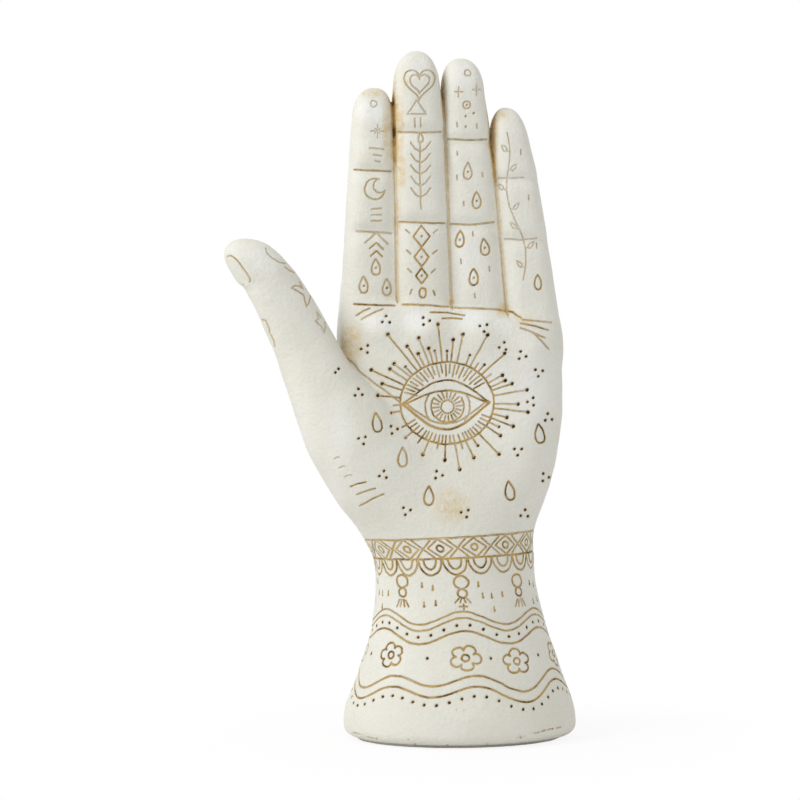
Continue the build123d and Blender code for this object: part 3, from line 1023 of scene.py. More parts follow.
    def middle(self) -> None:
        """Two hearts, a triangle, a leafy sprig, dotted diamonds and a ring."""
        art = self.art
        art.heart((7.6, 122.2), 6.0, Mark.FINE)
        art.heart((7.7, 122.2), 3.8, Mark.FINE)
        art.path([(2.8, 110.0), (6.5, 115.4), (10.4, 110.0)], Mark.FINE, closed=True)
        for across in (5.6, 8.0):
            art.path([(across, 108.6), (across + 0.2, 105.2)], Mark.FINE)
        art.path([(8.0, 99.5), (7.7, 88.0), (8.3, 73.5)], Mark.FINE)
        for number in range(5):
            height = 78.0 + 4.4 * number
            for side in (-1.0, 1.0):
                leaf = [(8.0, height), (8.0 + 2.0 * side, height + 1.2), (8.0 + 3.8 * side, height + 3.6)]
                art.path(leaf, Mark.FINE)
        art.drop((8.0, 101.0), (1.1, 2.0), mark=Mark.FINE)
        for height, half in ((63.0, 3.2), (55.0, 2.8), (47.8, 2.3)):
            tall = 1.3 * half
            art.path([(8.4, height + tall), (8.4 + half, height), (8.4, height - tall), (8.4 - half, height)],
                     Mark.LINE, closed=True)
            art.pit((8.4, height), Mark.DOT)
            for side in (-1.0, 1.0):
                tick = [(8.4 + side * (half + 1.4), height + 1.2), (8.4 + side * (half + 3.0), height + 2.6)]
                art.path(tick, Mark.FINE)
        art.ring((8.9, 41.2), (1.3, 1.9), Mark.LINE)
        art.path([(4.6, 42.4), (4.0, 40.6)], Mark.FINE)
        art.path([(12.8, 42.2), (13.6, 40.4)], Mark.FINE)

    def ring(self) -> None:
        """A ring, two crosses, a ringed dot, dotted drops and ticks."""
        art = self.art
        art.ring((26.2, 125.9), (1.2, 1.2), Mark.FINE)
        for across, height in ((22.7, 118.6), (29.6, 119.6)):
            art.path([(across - 1.5, height), (across + 1.5, height)], Mark.FINE)
            art.path([(across, height + 2.0), (across, height - 2.0)], Mark.FINE)
        art.ring((25.8, 113.6), (1.4, 1.4), Mark.FINE)
        art.pits([(25.8, 113.6), (25.4, 105.2), (25.3, 109.2), (28.4, 110.4)], Mark.DOT)
        for place, turn in (((26.2, 88.2), 0.0), ((29.6, 77.0), 0.0), ((23.1, 62.0), -4.0),
                            ((32.7, 58.9), 8.0), ((28.5, 47.4), 0.0)):
            art.drop(place, (2.1, 3.2), turn, dot=True)
        for across, height in ((22.0, 106.0), (29.6, 105.4), (22.0, 85.6), (31.8, 86.8), (24.6, 75.6),
                               (28.1, 64.0), (23.4, 53.4), (34.4, 50.4), (28.8, 40.0), (22.0, 95.0)):
            art.path([(across, height + 0.8), (across + 0.2, height - 0.8)], Mark.FINE)

    def little(self) -> None:
        """A trailing vine with leaves, ticks and a drop."""
        art = self.art
        part = np.linspace(0.0, 1.0, 24)
        height = 103.0 - 57.0 * part
        across = 39.6 + 8.6 * part + 2.0 * np.sin(2.0 * np.pi * (1.4 * part + 0.15))
        art.path(np.stack([across, height], axis=1), Mark.HAIR)
        for number, place in enumerate(range(3, 23, 3)):
            side = 1.0 if number % 2 else -1.0
            stem = (across[place], height[place])
            art.path([stem, (stem[0] + 1.4 * side, stem[1] + 0.4)], Mark.HAIR)
            art.drop((stem[0] + 2.3 * side, stem[1] + 1.4), (0.9, 1.5), -40.0 * side, Mark.HAIR)
        art.drop((53.1, 45.4), (1.6, 2.9), 4.0, Mark.FINE)
        for spot in ((46.6, 95.4), (49.6, 78.0), (52.6, 59.4)):
            art.path([(spot[0], spot[1] + 0.9), (spot[0] + 0.1, spot[1] - 0.9)], Mark.FINE)

    def thumb(self) -> None:
        """Scallops at one edge of the thumb and a squiggle at the other."""
        art = self.art
        art.path([(-51.7, 58.5), (-51.2, 56.6), (-48.9, 54.5), (-46.2, 52.8), (-44.3, 52.4)], Mark.HAIR)
        art.path([(-44.3, 51.2), (-42.3, 49.7), (-40.8, 49.0), (-40.0, 49.8)], Mark.HAIR)
        art.path([(-52.9, 30.8), (-51.6, 30.4), (-50.4, 27.7), (-50.2, 25.8)], Mark.HAIR)
        art.path([(-49.7, 25.2), (-48.5, 22.7), (-48.1, 20.4)], Mark.HAIR)
        art.pits([(-23.6, 12.0), (-24.8, 10.6)], Mark.SPECK)

    def stars(self) -> None:
        """Two five-pointed stars on the thumb's inner side, which turn out of sight at its edge."""
        art = self.art
        art.path([(-34.3, 40.4), (-35.0, 37.6), (-35.9, 36.0), (-36.6, 37.9), (-37.2, 40.4), (-39.7, 42.1),
                  (-41.7, 43.2), (-40.4, 43.9), (-38.7, 43.8), (-37.3, 42.9), (-38.0, 44.2), (-38.6, 45.4)],
                 Mark.HAIR)
        art.path([(-30.4, 32.0), (-32.0, 34.1), (-31.3, 31.3), (-32.5, 30.4), (-30.2, 28.2), (-29.2, 25.9),
                  (-28.6, 28.3), (-29.0, 30.0), (-28.0, 29.6)], Mark.HAIR)

    def foot(self) -> None:
        """Chips and scuffs that the wash has caught along the bottom edge of the foot."""
        art = self.art
        for start, end in self.chips:
            art.path([start, end], Mark.HAIR)
        art.pits([(-9.0, -130.5), (5.8, -132.6), (18.2, -132.9), (33.6, -132.6), (46.4, -130.2),
                  (58.8, -126.6)], Mark.FINE)
        art.pits([(21.8, -119.4), (24.8, -119.5), (3.2, -130.8)], Mark.HAIR)


@dataclass(frozen=True)
class CuffArt:
    """Bands of ornament that run around the cuff; across is the angle from the front in radians."""

    radius: float = 28.0
    band: tuple[Point, ...] = ((77.6, 1.7), (70.0, 1.2))
    lattice_middle: Point = (73.8, 1.4)
    lattice_step: float = math.radians(24.0)
    lattice_start: float = math.radians(-14.0)
    scallops: tuple[Point, ...] = ((0.150, 6.0), (0.082, 3.8))
    flowers: tuple[float, ...] = (-172.0, -134.0, -94.0, -53.0, -4.0, 28.0, 70.0, 108.0, 148.0)
    between: tuple[float, ...] = (-153.0, -114.0, -75.0, -27.0, 11.0, 47.0, 89.0, 128.0, 169.0)

    def lean(self, angle: Array, low: float, sway: float) -> Array:
        """Height of a line that rises a little towards the little finger's side."""
        return low + sway * np.sin(angle)

    def draw(self) -> Drawing:
        """Cut the bands.

        Returns:
            The drawing, in radians across and millimetres up.
        """
        art = Drawing(SEED + 1, unit=self.radius)
        self.lattice(art)
        self.fringe(art)
        self.waves(art)
        self.blossoms(art)
        art.wrap(2.0 * math.pi)
        return art

    def line(self, art: Drawing, angle: Array, height: Array, mark: Mark) -> None:
        """Cut a line through angles and heights."""
        art.path(np.stack([angle, height], axis=1), mark)

    def lattice(self, art: Drawing) -> None:
        """Two lines with diamonds and crossed strokes between them.

        Args:
            art: the drawing that they are cut in.
        """
        around = np.linspace(-np.pi, np.pi, 121)
        for low, sway in self.band:
            self.line(art, around, self.lean(around, low, sway), Mark.LINE)
        step = self.lattice_step
        for number in range(15):
            angle = self.lattice_start + step * (number - 7)
            middle = float(self.lean(angle, *self.lattice_middle))
            art.path([(angle, middle + 3.5), (angle + 0.36 * step, middle), (angle, middle - 3.5),
                      (angle - 0.36 * step, middle)], Mark.FINE, closed=True)
            art.ring((angle, middle), (1.15, 1.2), Mark.LINE)
            between = angle + step / 2.0
            height = float(self.lean(between, *self.lattice_middle))
            for side in (-1.0, 1.0):
                art.path([(between - 0.27 * step, height + 3.3 * side),
                          (between + 0.27 * step, height - 3.3 * side)], Mark.FINE)

    def fringe(self, art: Drawing) -> None:
        """Double scallops under the lattice, hanging beads and falling dashes.

        Args:
            art: the drawing that they are cut in.
        """
        for number in range(20):
            angle = math.radians(-6.0 + 18.0 * (number - 10))
            top = 69.8 + 1.2 * math.sin(angle)
            turn = np.linspace(np.pi, 2.0 * np.pi, 15)
            for half, fall in self.scallops:
                self.line(art, angle + half * np.cos(turn), top + fall * np.sin(turn) * 0.98, Mark.LINE)
        for number in range(8):
            angle = math.radians(-3.0 + 45.0 * (number - 4))
            art.ring((angle, 60.9), (2.5, 2.4), Mark.LINE)
            art.ring((angle, 56.8), (1.6, 1.6), Mark.LINE)
            start, fall = 54.0, 51.4
            if number == 4:
                start, fall = 55.0, 53.4
                art.path([(angle - 1.3 / self.radius, 51.9), (angle + 1.3 / self.radius, 51.9)], Mark.FINE)
                art.path([(angle, 52.8), (angle, 50.9)], Mark.FINE)
            for spread in (-2.2, -0.8, 0.8, 2.2):
                thread = [(angle + 0.6 * spread / self.radius, start),
                          (angle + 1.2 * spread / self.radius, fall)]
                art.path(thread, Mark.FINE)
            rain = ((16.5, 59.6), (24.5, 58.6), (17.5, 52.4), (26.0, 53.0))
            if number % 2 == 0:
                rain = ((12.0, 60.0), (14.5, 55.8), (21.0, 55.6), (29.5, 56.0), (21.5, 50.8))
            for offset, height in rain:
                place = angle + math.radians(offset)
                art.path([(place, height + 1.0), (place, height - 0.7)], Mark.FINE)
                art.pit((place, height - 0.5), Mark.BOLD)

    def swell(self, angle: Array) -> Array:
        """Lower wave: seven crests around, with troughs of uneven depth."""
        turn = angle - math.radians(4.0)
        return 2.5 * np.cos(7.0 * turn) - 1.3 * np.sin(4.0 * turn)

    def waves(self, art: Drawing) -> None:
        """Two bands of waves with dots between or below their lines.

        Args:
            art: the drawing that they are cut in.
        """
        around = np.linspace(-np.pi, np.pi, 181)
        upper = 2.5 * np.cos(6.0 * (around + math.radians(4.0)))
        for height, mark in ((47.6, Mark.FINE), (45.3, Mark.FINE), (40.5, Mark.LINE)):
            self.line(art, around, height + upper, mark)
        for angle in np.linspace(-np.pi, np.pi, 43)[:-1]:
            art.pit((angle, 42.9 + 2.4 * math.cos(6.0 * (angle + math.radians(4.0)))), Mark.SPECK)
        for height in (24.2, 20.3):
            self.line(art, around, height + self.swell(around), Mark.LINE)
        for angle in np.linspace(-np.pi, np.pi, 57)[:-1]:
            art.pit((angle, 17.2 + 0.9 * float(self.swell(angle))), Mark.SPECK)

    def blossoms(self, art: Drawing) -> None:
        """Five-petalled flowers between the waves, with a dot between neighbours.

        Args:
            art: the drawing that they are cut in.
        """
        for number, angle in enumerate(self.flowers):
            rise = 2.0 * math.cos(math.radians(7.0 * (angle - 4.0)))
            art.flower((math.radians(angle), 32.6 + 0.6 * rise), 4.6, 20.0 + 29.0 * number)
        for angle in self.between:
            art.pit((math.radians(angle), 33.0), Mark.SPECK)


@dataclass(frozen=True)
class Nail:
    """A raised plate with a groove around it, on the back of a fingertip."""

    centre: Point
    half: Point
    rise: float
    fullness: float = 2.6
    rim: float = 1.06
    flat: float = 0.9
    turned_away: float = 9.0

    def shape(self, chart: Chart) -> tuple[Array, Array]:
        """Lift of the plate, and distance from its rim where it faces the chart, from a squared oval.

        Args:
            chart: map of the skin.

        Returns:
            The two, in that order.
        """
        wide = np.abs(chart.across - self.centre[0]) * chart.stretch / self.half[0]
        tall = np.abs(chart.up - self.centre[1]) / self.half[1]
        norm = (wide**self.fullness + tall**self.fullness) ** (1.0 / self.fullness)
        lift = self.rise * ease(norm, self.rim, self.flat) * chart.facing
        return lift, np.abs(norm - self.rim) * self.half[0] + self.turned_away * (1.0 - chart.facing)


@dataclass
class Surface:
    """Charts of the hand, and the ornament that lies on each."""

    hand: Hand
    easel: Easel
    front: Drawing
    cuff: Drawing
    seam_wash: tuple[float, ...] = (1.0, 0.3, 0.85)
    seam_front: Point = (4.0, -2.0)
    seam_parting: Point = (36.0, 22.0)
    seam_width: float = 0.5
    seam_faint: float = 0.24
    seam_stain: Point = (0.32, 0.45)
    seam_stain_span: Point = (1.8, 0.3)
    cuff_fade: Point = (90.0, 84.0)
    back_grazing: Point = (0.1, 0.4)
    nail_drop: float = 10.0
    nail_half: Point = (5.6, 7.0)
    nail_rise: float = 0.45
    worn_span: Point = (160.0, 210.0)
    worn_wash: float = 0.45
    worn_line: float = 0.15
    thumb_side: float = -50.0
    above_palm: float = 168.0
    fold_stain: float = 0.45
    fold_stain_span: Point = (0.18, 0.85)
    halo_stain: float = 0.25
    halo_span: Point = (0.1, 0.65)
    blot_span: Point = (1.15, 0.2)
    lump: float = 0.2
    lump_lengths: tuple[float, ...] = (7.0, 8.5, 10.0, 12.0, 14.0, 17.0)
    lump_span: Point = (4.0, 12.0)
    # Spots on the front: a positive strength is stain, a negative one is a painted highlight where light
    # falls.
    stains_and_painted_highlights: tuple[tuple[Point, Point, float], ...] = (
        ((-18.3, 22.0), (5.5, 10.0), 0.8), ((19.8, -41.0), (9.5, 8.5), 0.75),
        ((-11.0, 118.2), (8.0, 2.0), 0.8), ((-5.2, 105.0), (2.4, 15.0), 0.8),
        ((-0.4, 105.0), (2.8, 15.0), 1.0), ((0.6, 88.0), (2.2, 9.0), 0.9),
        ((-0.6, 70.0), (1.6, 14.0), 0.5), ((35.8, 102.0), (2.4, 11.0), 1.0),
        ((38.0, 109.5), (4.5, 2.4), 0.8), ((39.8, 34.0), (3.4, 4.0), 1.0), ((20.0, 37.0), (2.0, 3.0), 0.8),
        ((18.4, 108.0), (2.4, 16.0), -0.4), ((-13.0, 93.0), (7.0, 5.0), 0.15),
        ((47.0, 31.0), (7.0, 3.0), 0.5), ((2.0, 124.0), (2.2, 9.0), 0.4), ((-9.0, 29.5), (8.0, 5.5), -0.7),
        ((7.0, 30.5), (8.0, 6.0), -0.9), ((27.5, 31.0), (9.0, 6.0), -0.9),
        ((40.0, 29.0), (6.0, 5.0), -0.5), ((54.0, 4.0), (11.0, 22.0), -0.5),
        ((40.0, 2.0), (20.0, 30.0), -0.35), ((18.0, 2.0), (22.0, 19.0), -0.3),
        ((27.0, 55.0), (8.0, 16.0), -0.5), ((-11.0, 111.0), (8.0, 6.0), -0.9),
        ((24.0, 125.0), (8.0, 7.0), -0.5), ((6.0, 129.0), (8.0, 7.0), -0.4),
        ((-53.0, 54.0), (9.0, 7.0), -0.7), ((-23.0, -11.0), (8.0, 14.0), -0.5))

    def cuff_chart(self, points: Array) -> Chart:
        """Chart of the cuff: the angle on its oval from the front, and the height.

        Args:
            points: vertices.

        Returns:
            The chart.
        """
        wide, thick, middle, _ = self.hand.trunk.section(points[:, 2])
        angle = np.arctan2((points[:, 0] - middle) / wide, -points[:, 1] / thick)
        stretch = np.hypot(wide * np.cos(angle), thick * np.sin(angle))
        return Chart(angle, points[:, 2], stretch, ease(points[:, 2], *self.cuff_fade))

    def back_chart(self, points: Array, normals: Array) -> Chart:
        """Chart of the back, seen square on."""
        facing = ease(normals[:, 1], *self.back_grazing)
        return Chart(points[:, 0], points[:, 2], np.ones(len(points)), facing)

    def nails(self) -> list[Nail]:
        """The nails of the four fingers, which lie on the chart of the back.

        Returns:
            The plates.
        """
        heights = [finger.tip - self.nail_drop for finger in self.hand.fingers]
        return [Nail((float(finger.middle(height)), height), self.nail_half, self.nail_rise)
                for finger, height in zip(self.hand.fingers, heights)]

    def seams(self, points: Array, sheet: Sheet) -> None:
        """Leave wash in the seams between fingers, strong where they part near the tips and faint below.

        Args:
            points: vertices in millimetres.
            sheet: what is carved and stained there so far.
        """
        everywhere = np.arange(len(points))
        up = points[:, 2] - self.hand.trunk.knuckles.at(points[:, 0])
        front = ease(points[:, 1], *self.seam_front)
        for first, second, dark in zip(self.hand.fingers, self.hand.fingers[1:], self.seam_wash):
            gap = np.abs(points[:, 0] - first.right.at(points[:, 2])) + 2.0 * ease(up, 1.5, -0.5)
            top = min(first.tip, second.tip)
            low, high = (top - drop for drop in self.seam_parting)
            parting = dark * ease(points[:, 2], low, high) * (0.4 + 0.6 * front)
            sheet.mark(everywhere, np.zeros(len(points)), closeness(gap, self.seam_width),
                       np.maximum(self.seam_faint, parting))
            strength = self.seam_stain[0] + self.seam_stain[1] * parting
            sheet.stain += front * strength * ease(gap, *self.seam_stain_span)

    def treat(self, points: Array, normals: Array) -> Sheet:
        """Carve and stain a skin, and paint highlights on it.

        Args:
            points: vertices in millimetres.
            normals: outward normals there.

        Returns:
            Depth to press each vertex in by, line, wash and stain.
        """
        front = self.easel.chart(points, normals)
        sheet = self.front.carve(front)
        if points[:, 2].min() < self.cuff_fade[1]:
            sheet.lay(self.cuff.carve(self.cuff_chart(points)))
        fade = ease(points[:, 2], *self.worn_span)
        sheet.wash *= 1.0 - self.worn_wash * fade
        sheet.line = np.clip(1.0 - (1.0 - sheet.line) * (1.0 + self.worn_line * fade), 0.0, 1.0)
        everywhere = np.arange(len(points))
        if points[:, 0].min() < self.thumb_side:
            self.thumb_nail(points, sheet)
        if points[:, 2].max() > self.above_palm:
            back = self.back_chart(points, normals)
            for nail in self.nails():
                lift, gap = nail.shape(back)
                sheet.mark(everywhere, 0.25 * ease(gap, 0.7, 0.1), closeness(gap, 0.3), 0.55)
                sheet.depth -= lift
            self.seams(points, sheet)
        sheet.stain += self.fold_stain * ease(self.hand.hidden(points, normals), *self.fold_stain_span)
        sheet.stain += self.halo_stain * sheet.wash * ease(sheet.line, *self.halo_span)
        # Positive spots add stain; negative spots are painted highlights on lit, raised places.
        for centre, half, strength in self.stains_and_painted_highlights:
            away = np.hypot((front.across - centre[0]) / half[0], (front.up - centre[1]) / half[1])
            sheet.stain += strength * front.facing * ease(away, *self.blot_span)
        return sheet

    def thumb_nail(self, points: Array, sheet: Sheet) -> None:
        """Cut the groove on the palm's side of the thumb's nail, where its flat leaves the thumb's round.

        Args:
            points: vertices in millimetres.
            sheet: what is carved there so far.
        """
        thumb = self.hand.thumb
        round_thumb, flat, along = thumb.shape(points)
        _, deep, _ = thumb.local(points)
        off = ease(along, 30.5, 28.5) + ease(along, 43.0, 46.5) + ease(deep, -3.0, -0.5)
        gap = np.abs(round_thumb - flat) + 2.0 * off
        sheet.mark(np.arange(len(points)), 0.20 * ease(gap, 0.5, 0.1), closeness(gap, 0.17), 0.50)

    def lumps(self, points: Array) -> Array:
        """Gentle unevenness of hand-finished clay: a mean of sine waves in set directions, none at the foot.

        Args:
            points: vertices in millimetres.

        Returns:
            Lift at each.
        """
        chance = np.random.default_rng(SEED + 2)
        total = np.zeros(len(points))
        for length in self.lump_lengths:
            way = chance.normal(size=3)
            way *= 2.0 * np.pi / length / np.linalg.norm(way)
            total += np.sin(points @ way + chance.uniform(0.0, 2.0 * np.pi))
        return self.lump * total / len(self.lump_lengths) * ease(points[:, 2], *self.lump_span)


def squared_circle(turn: Array, fullness: float) -> Array:
    """Offsets on a rounded oval over its half sizes: sine and cosine of the turn, each to a power.

    Args:
        turn: angles from the front.
        fullness: 2 is an ellipse, more is squarer.

    Returns:
        Offsets across and through the hand.
    """
    power = 2.0 / fullness
    across = np.sign(np.sin(turn)) * np.abs(np.sin(turn)) ** power
    deep = -np.sign(np.cos(turn)) * np.abs(np.cos(turn)) ** power
    return np.stack([across, deep], axis=1)


def loop(half: Point, fullness: float, spacing: Point) -> Array:
    """Columns around an oval, closer in front than behind, as offsets over its half sizes.

    A fine walk around the oval is weighed by the wanted step, and columns are set at even weight.

    Args:
        half: typical half width and half depth.
        fullness: 2 is an ellipse, more is squarer.
        spacing: steps in front and behind.

    Returns:
        Offsets of the columns across and through the hand.
    """
    front, back = spacing
    turn = np.linspace(-np.pi, np.pi, 6001)
    walk = np.diff(squared_circle(turn, fullness), axis=0) * np.array(half)
    step = front + (back - front) * ease(np.abs(turn), 1.75, 2.3)
    run = np.concatenate([[0.0], np.cumsum(np.hypot(walk[:, 0], walk[:, 1]) / step[1:])])
    count = int(round(run[-1]))
    places = np.interp(np.arange(count) / count * run[-1], run, turn)
    return squared_circle(places, fullness)


def level_reach(wide: Array, thick: Array, ring: Array) -> Array:
    """Level reaches of a grid of rays.

    Args:
        wide: half width of each row.
        thick: half depth of each row.
        ring: offsets of the columns.

    Returns:
        Rows by columns of vectors.
    """
    reach = np.zeros((len(wide), len(ring), 3))
    reach[..., 0] = wide[:, None] * ring[:, 0]
    reach[..., 1] = thick[:, None] * ring[:, 1]
    return reach


def domed_rows(foot: float, start: float, step: float, count: int) -> tuple[Array, Array]:
    """Rows of a member that are level along its shaft and then turn up over its dome.

    Args:
        foot: where the shaft starts.
        start: where the dome starts.
        step: between rows of the shaft.
        count: of rows over the dome, with the shaft's last.

    Returns:
        Place of each row along the member, and its turn.
    """
    shaft = np.linspace(foot, start, int(round((start - foot) / step)))
    turn = np.radians(np.linspace(0.0, DOME_TURN, count))[1:]
    places = np.concatenate([shaft, np.full(len(turn), start)])
    return places, np.concatenate([np.zeros(len(shaft)), turn])


@dataclass
class Rays:
    """A grid of rays, row by row: where each starts and its reach at one."""

    origin: Array
    reach: Array

    def meet(self, solid: Callable[[Array], Array], near: float, far: float, steps: int = 13,
             halvings: int = 13) -> Array:
        """Where the rays leave a solid: stepped outwards to the first place outside, then halved.

        Args:
            solid: field, negative inside.
            near: where the steps start.
            far: where they end.
            steps: how many.
            halvings: how often the last step is halved.

        Returns:
            Grid of points.
        """
        start = np.broadcast_to(self.origin, self.reach.shape).reshape(-1, 3)
        way = self.reach.reshape(-1, 3)
        low = np.full(len(way), near)
        high = np.full(len(way), far)
        inside = np.arange(len(way))
        for place in np.linspace(near, far, steps)[1:]:
            out = solid(start[inside] + way[inside] * place) > 0.0
            high[inside[out]] = place
            inside = inside[~out]
            low[inside] = place
            if not inside.size:
                break
        for _ in range(halvings):
            middle = (low + high) / 2.0
            out = solid(start + way * middle[:, None]) > 0.0
            high = np.where(out, middle, high)
            low = np.where(out, low, middle)
        return (start + way * ((low + high) / 2.0)[:, None]).reshape(self.reach.shape)


def write_mesh(name: str, grid: Array, foot: Array, top: Array, layers: dict[str, Array]) -> bpy.types.Object:
    """Closed mesh of a grid whose rows are rings, with a fan over each end.

    Args:
        name: of the piece.
        grid: rows by columns of points in millimetres.
        foot: middle of the fan under the first row.
        top: middle of the fan over the last row.
        layers: values for each grid vertex, written as attributes.

    Returns:
        The piece.
    """
    rows, columns, _ = grid.shape
    index = np.arange(rows * columns).reshape(rows, columns)
    beside = np.roll(index, -1, axis=1)
    quads = np.stack([index[:-1], beside[:-1], beside[1:], index[1:]], axis=-1).reshape(-1, 4)
    low = rows * columns
    under = np.stack([beside[0], index[0], np.full(columns, low)], axis=-1)
    over = np.stack([index[-1], beside[-1], np.full(columns, low + 1)], axis=-1)
    points = np.concatenate([grid.reshape(-1, 3), foot[None], top[None]]) * MM
    tris = np.concatenate([under, over])
    corners = np.concatenate([quads[:, :3], quads[:, [0, 2, 3]], tris])
    first, second, third = (points[corners[:, side]] for side in range(3))
    if np.einsum("ij,ij->i", first, np.cross(second, third)).sum() < 0.0:
        quads = quads[:, ::-1]
        tris = tris[:, ::-1]
    loops = np.concatenate([quads.ravel(), tris.ravel()]).astype(np.int32)
    totals = np.concatenate([np.full(len(quads), 4), np.full(len(tris), 3)]).astype(np.int32)
    mesh = bpy.data.meshes.new(name)
    mesh.vertices.add(len(points))
    mesh.vertices.foreach_set("co", points.astype(np.float32).ravel())
    mesh.loops.add(len(loops))
    mesh.loops.foreach_set("vertex_index", loops)
    mesh.polygons.add(len(totals))
    mesh.polygons.foreach_set("loop_start", np.concatenate([[0], np.cumsum(totals)[:-1]]).astype(np.int32))
    mesh.polygons.foreach_set("use_smooth", np.ones(len(totals), dtype=bool))
    mesh.update(calc_edges=True)
    for layer, values in layers.items():
        data = mesh.attributes.new(layer, "FLOAT", "POINT").data
        data.foreach_set("value", np.concatenate([values, values[:1], values[-1:]]).astype(np.float32))
    mesh.set_sharp_from_angle(angle=SHARP_EDGE)
    piece = bpy.data.objects.new(name, mesh)
    bpy.context.scene.collection.objects.link(piece)
    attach(piece, "root")
    LOG.info("%s: %d triangles", name, 2 * len(quads) + len(tris))
    return piece


def cover(piece: bpy.types.Object, finish: bpy.types.Material) -> None:
    """Give a piece one finish and no other."""
    piece.data.materials.clear()
    piece.data.materials.append(finish)


@dataclass
class Skin:
    """A piece of the hand's surface, carved and stained, that stands in for a CAD node."""

    name: str
    node: str
    surface: Surface
    near: float = 0.45
    far: float = 1.6
    typical: Point = (16.0, 13.5)
    fullness: float = 2.2
    spacing: Point = (0.36, 0.6)

    def columns(self) -> Array:
        """Offsets of the grid's columns."""
        return loop(self.typical, self.fullness, self.spacing)

    def rays(self) -> Rays:
        """Rays of the skin."""
        raise NotImplementedError

    def field(self, points: Array) -> Array:
        """Solid that the rays leave."""
        return self.surface.hand.solid(points)

    def sink(self, points: Array) -> Array:
        """How far a vertex is pressed in where another skin lies over it."""
        return np.zeros(len(points))

    def ends(self, grid: Array) -> tuple[Array, Array, Array]:
        """The grid with any rows added, and the middles of its two fans."""
        return grid, grid[0].mean(axis=0), grid[-1].mean(axis=0)

    def build(self) -> bpy.types.Object:
        """Make the piece.

        Returns:
            The piece, riding on the root and replacing its node.
        """
        grid = self.rays().meet(self.field, self.near, self.far)
        points = grid.reshape(-1, 3)
        normals = self.surface.hand.normals(points)
        sheet = self.surface.treat(points, normals)
        press = sheet.depth + self.sink(points) - self.surface.lumps(points)
        points = points - normals * press[:, None]
        full, foot, top = self.ends(points.reshape(grid.shape))
        extra = full.shape[0] * full.shape[1] - len(points)
        # The stain layer also holds painted highlights, as values below zero.
        layers = {name: np.concatenate([np.zeros(extra), values]) for name, values in
                  (("line", sheet.line), ("wash", sheet.wash), ("stain", sheet.stain))}
        piece = write_mesh(self.name, full, foot, top, layers)
        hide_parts(self.node)
        return piece

    def dress(self, piece: bpy.types.Object, finish: bpy.types.Material) -> None:
        """Give the built piece its finish."""
        cover(piece, finish)


@dataclass
class CuffSkin(Skin):
    """The cuff, with the ring of its foot and the rebate that holds the disc."""

    floor: float = 1.2
    seam: float = 76.0
    step: float = 0.36
    wall: float = 8.0
    rebate: float = 5.2
    bevel: float = 0.4
    rim: float = 8.2
    lift: float = 0.01
    near: float = 0.7
    far: float = 1.35
    typical: Point = (37.0, 28.0)
    fullness: float = 2.0
    spacing: Point = (0.42, 0.62)

    def rays(self) -> Rays:
        """Level rays from the cuff's axis, in closer rows around the bottom edge.

        Returns:
            The grid.
        """
        trunk = self.surface.hand.trunk
        corner = self.floor + trunk.edge * (1.0 - np.cos(np.linspace(0.0, np.pi / 2.0, 9)))
        rise = np.arange(corner[-1] + self.step, self.seam, self.step)
        heights = np.concatenate([corner, rise, [self.seam]])
        heights[0] += self.lift
        wide, thick, middle, _ = trunk.section(heights)
        origin = np.stack([middle, np.zeros_like(middle), heights], axis=1)
        return Rays(origin[:, None, :], level_reach(wide, thick, self.columns()))

    def ends(self, grid: Array) -> tuple[Array, Array, Array]:
        """Add the underside: across the foot's ring and up the rebate, with rounded corners.

        Args:
            grid: rows from the foot up.

        Returns:
            The longer grid, and the middles of its two fans.
        """
        trunk = self.surface.hand.trunk
        rim = np.array(self.rim)
        full = np.array([float(trunk.half_width.at(rim)), float(trunk.half_depth.at(rim))])
        rows = []
        for inset, height in ((self.wall, self.rebate), (self.wall, self.bevel),
                              (self.wall - self.bevel, 0.0)):
            ring = grid[0].copy()
            scale = (full - inset) / (full - trunk.edge)
            ring[:, :2] *= scale
            ring[:, 2] = self.floor + height
            rows.append(ring)
        whole = np.concatenate([np.stack(rows), grid])
        return whole, whole[0].mean(axis=0), grid[-1].mean(axis=0)


@dataclass
class PalmSkin(Skin):
    """The palm without the ball, from the wrist to the knuckles, in rows that tilt into the knuckle seam."""

    seam: float = 76.0
    step: float = 0.36
    far: float = 1.7
    typical: Point = (41.0, 16.0)
    fullness: float = 2.6
    spacing: Point = (0.36, 1.0)

    def rays(self) -> Rays:
        """Rays from the palm's axis.

        Returns:
            The grid.
        """
        trunk = self.surface.hand.trunk
        rows = int(round((trunk.knuckles.height - self.seam) / self.step))
        part = np.linspace(0.0, 1.0, rows)
        heights = self.seam + part * (trunk.knuckles.height - self.seam)
        wide, thick, middle, _ = trunk.section(heights)
        reach = level_reach(wide, thick, self.columns())
        reach[..., 2] = -math.tan(trunk.knuckles.tilt) * part[:, None] * reach[..., 0]
        rise = trunk.knuckles.at(middle) * part + self.seam * (1 - part)
        origin = np.stack([middle, np.zeros_like(middle), rise], axis=1)
        return Rays(origin[:, None, :], reach)

    def field(self, points: Array) -> Array:
        """The hand, with the palm going on under the ball."""
        return self.surface.hand.solid(points, PalmSide.TRUNK)


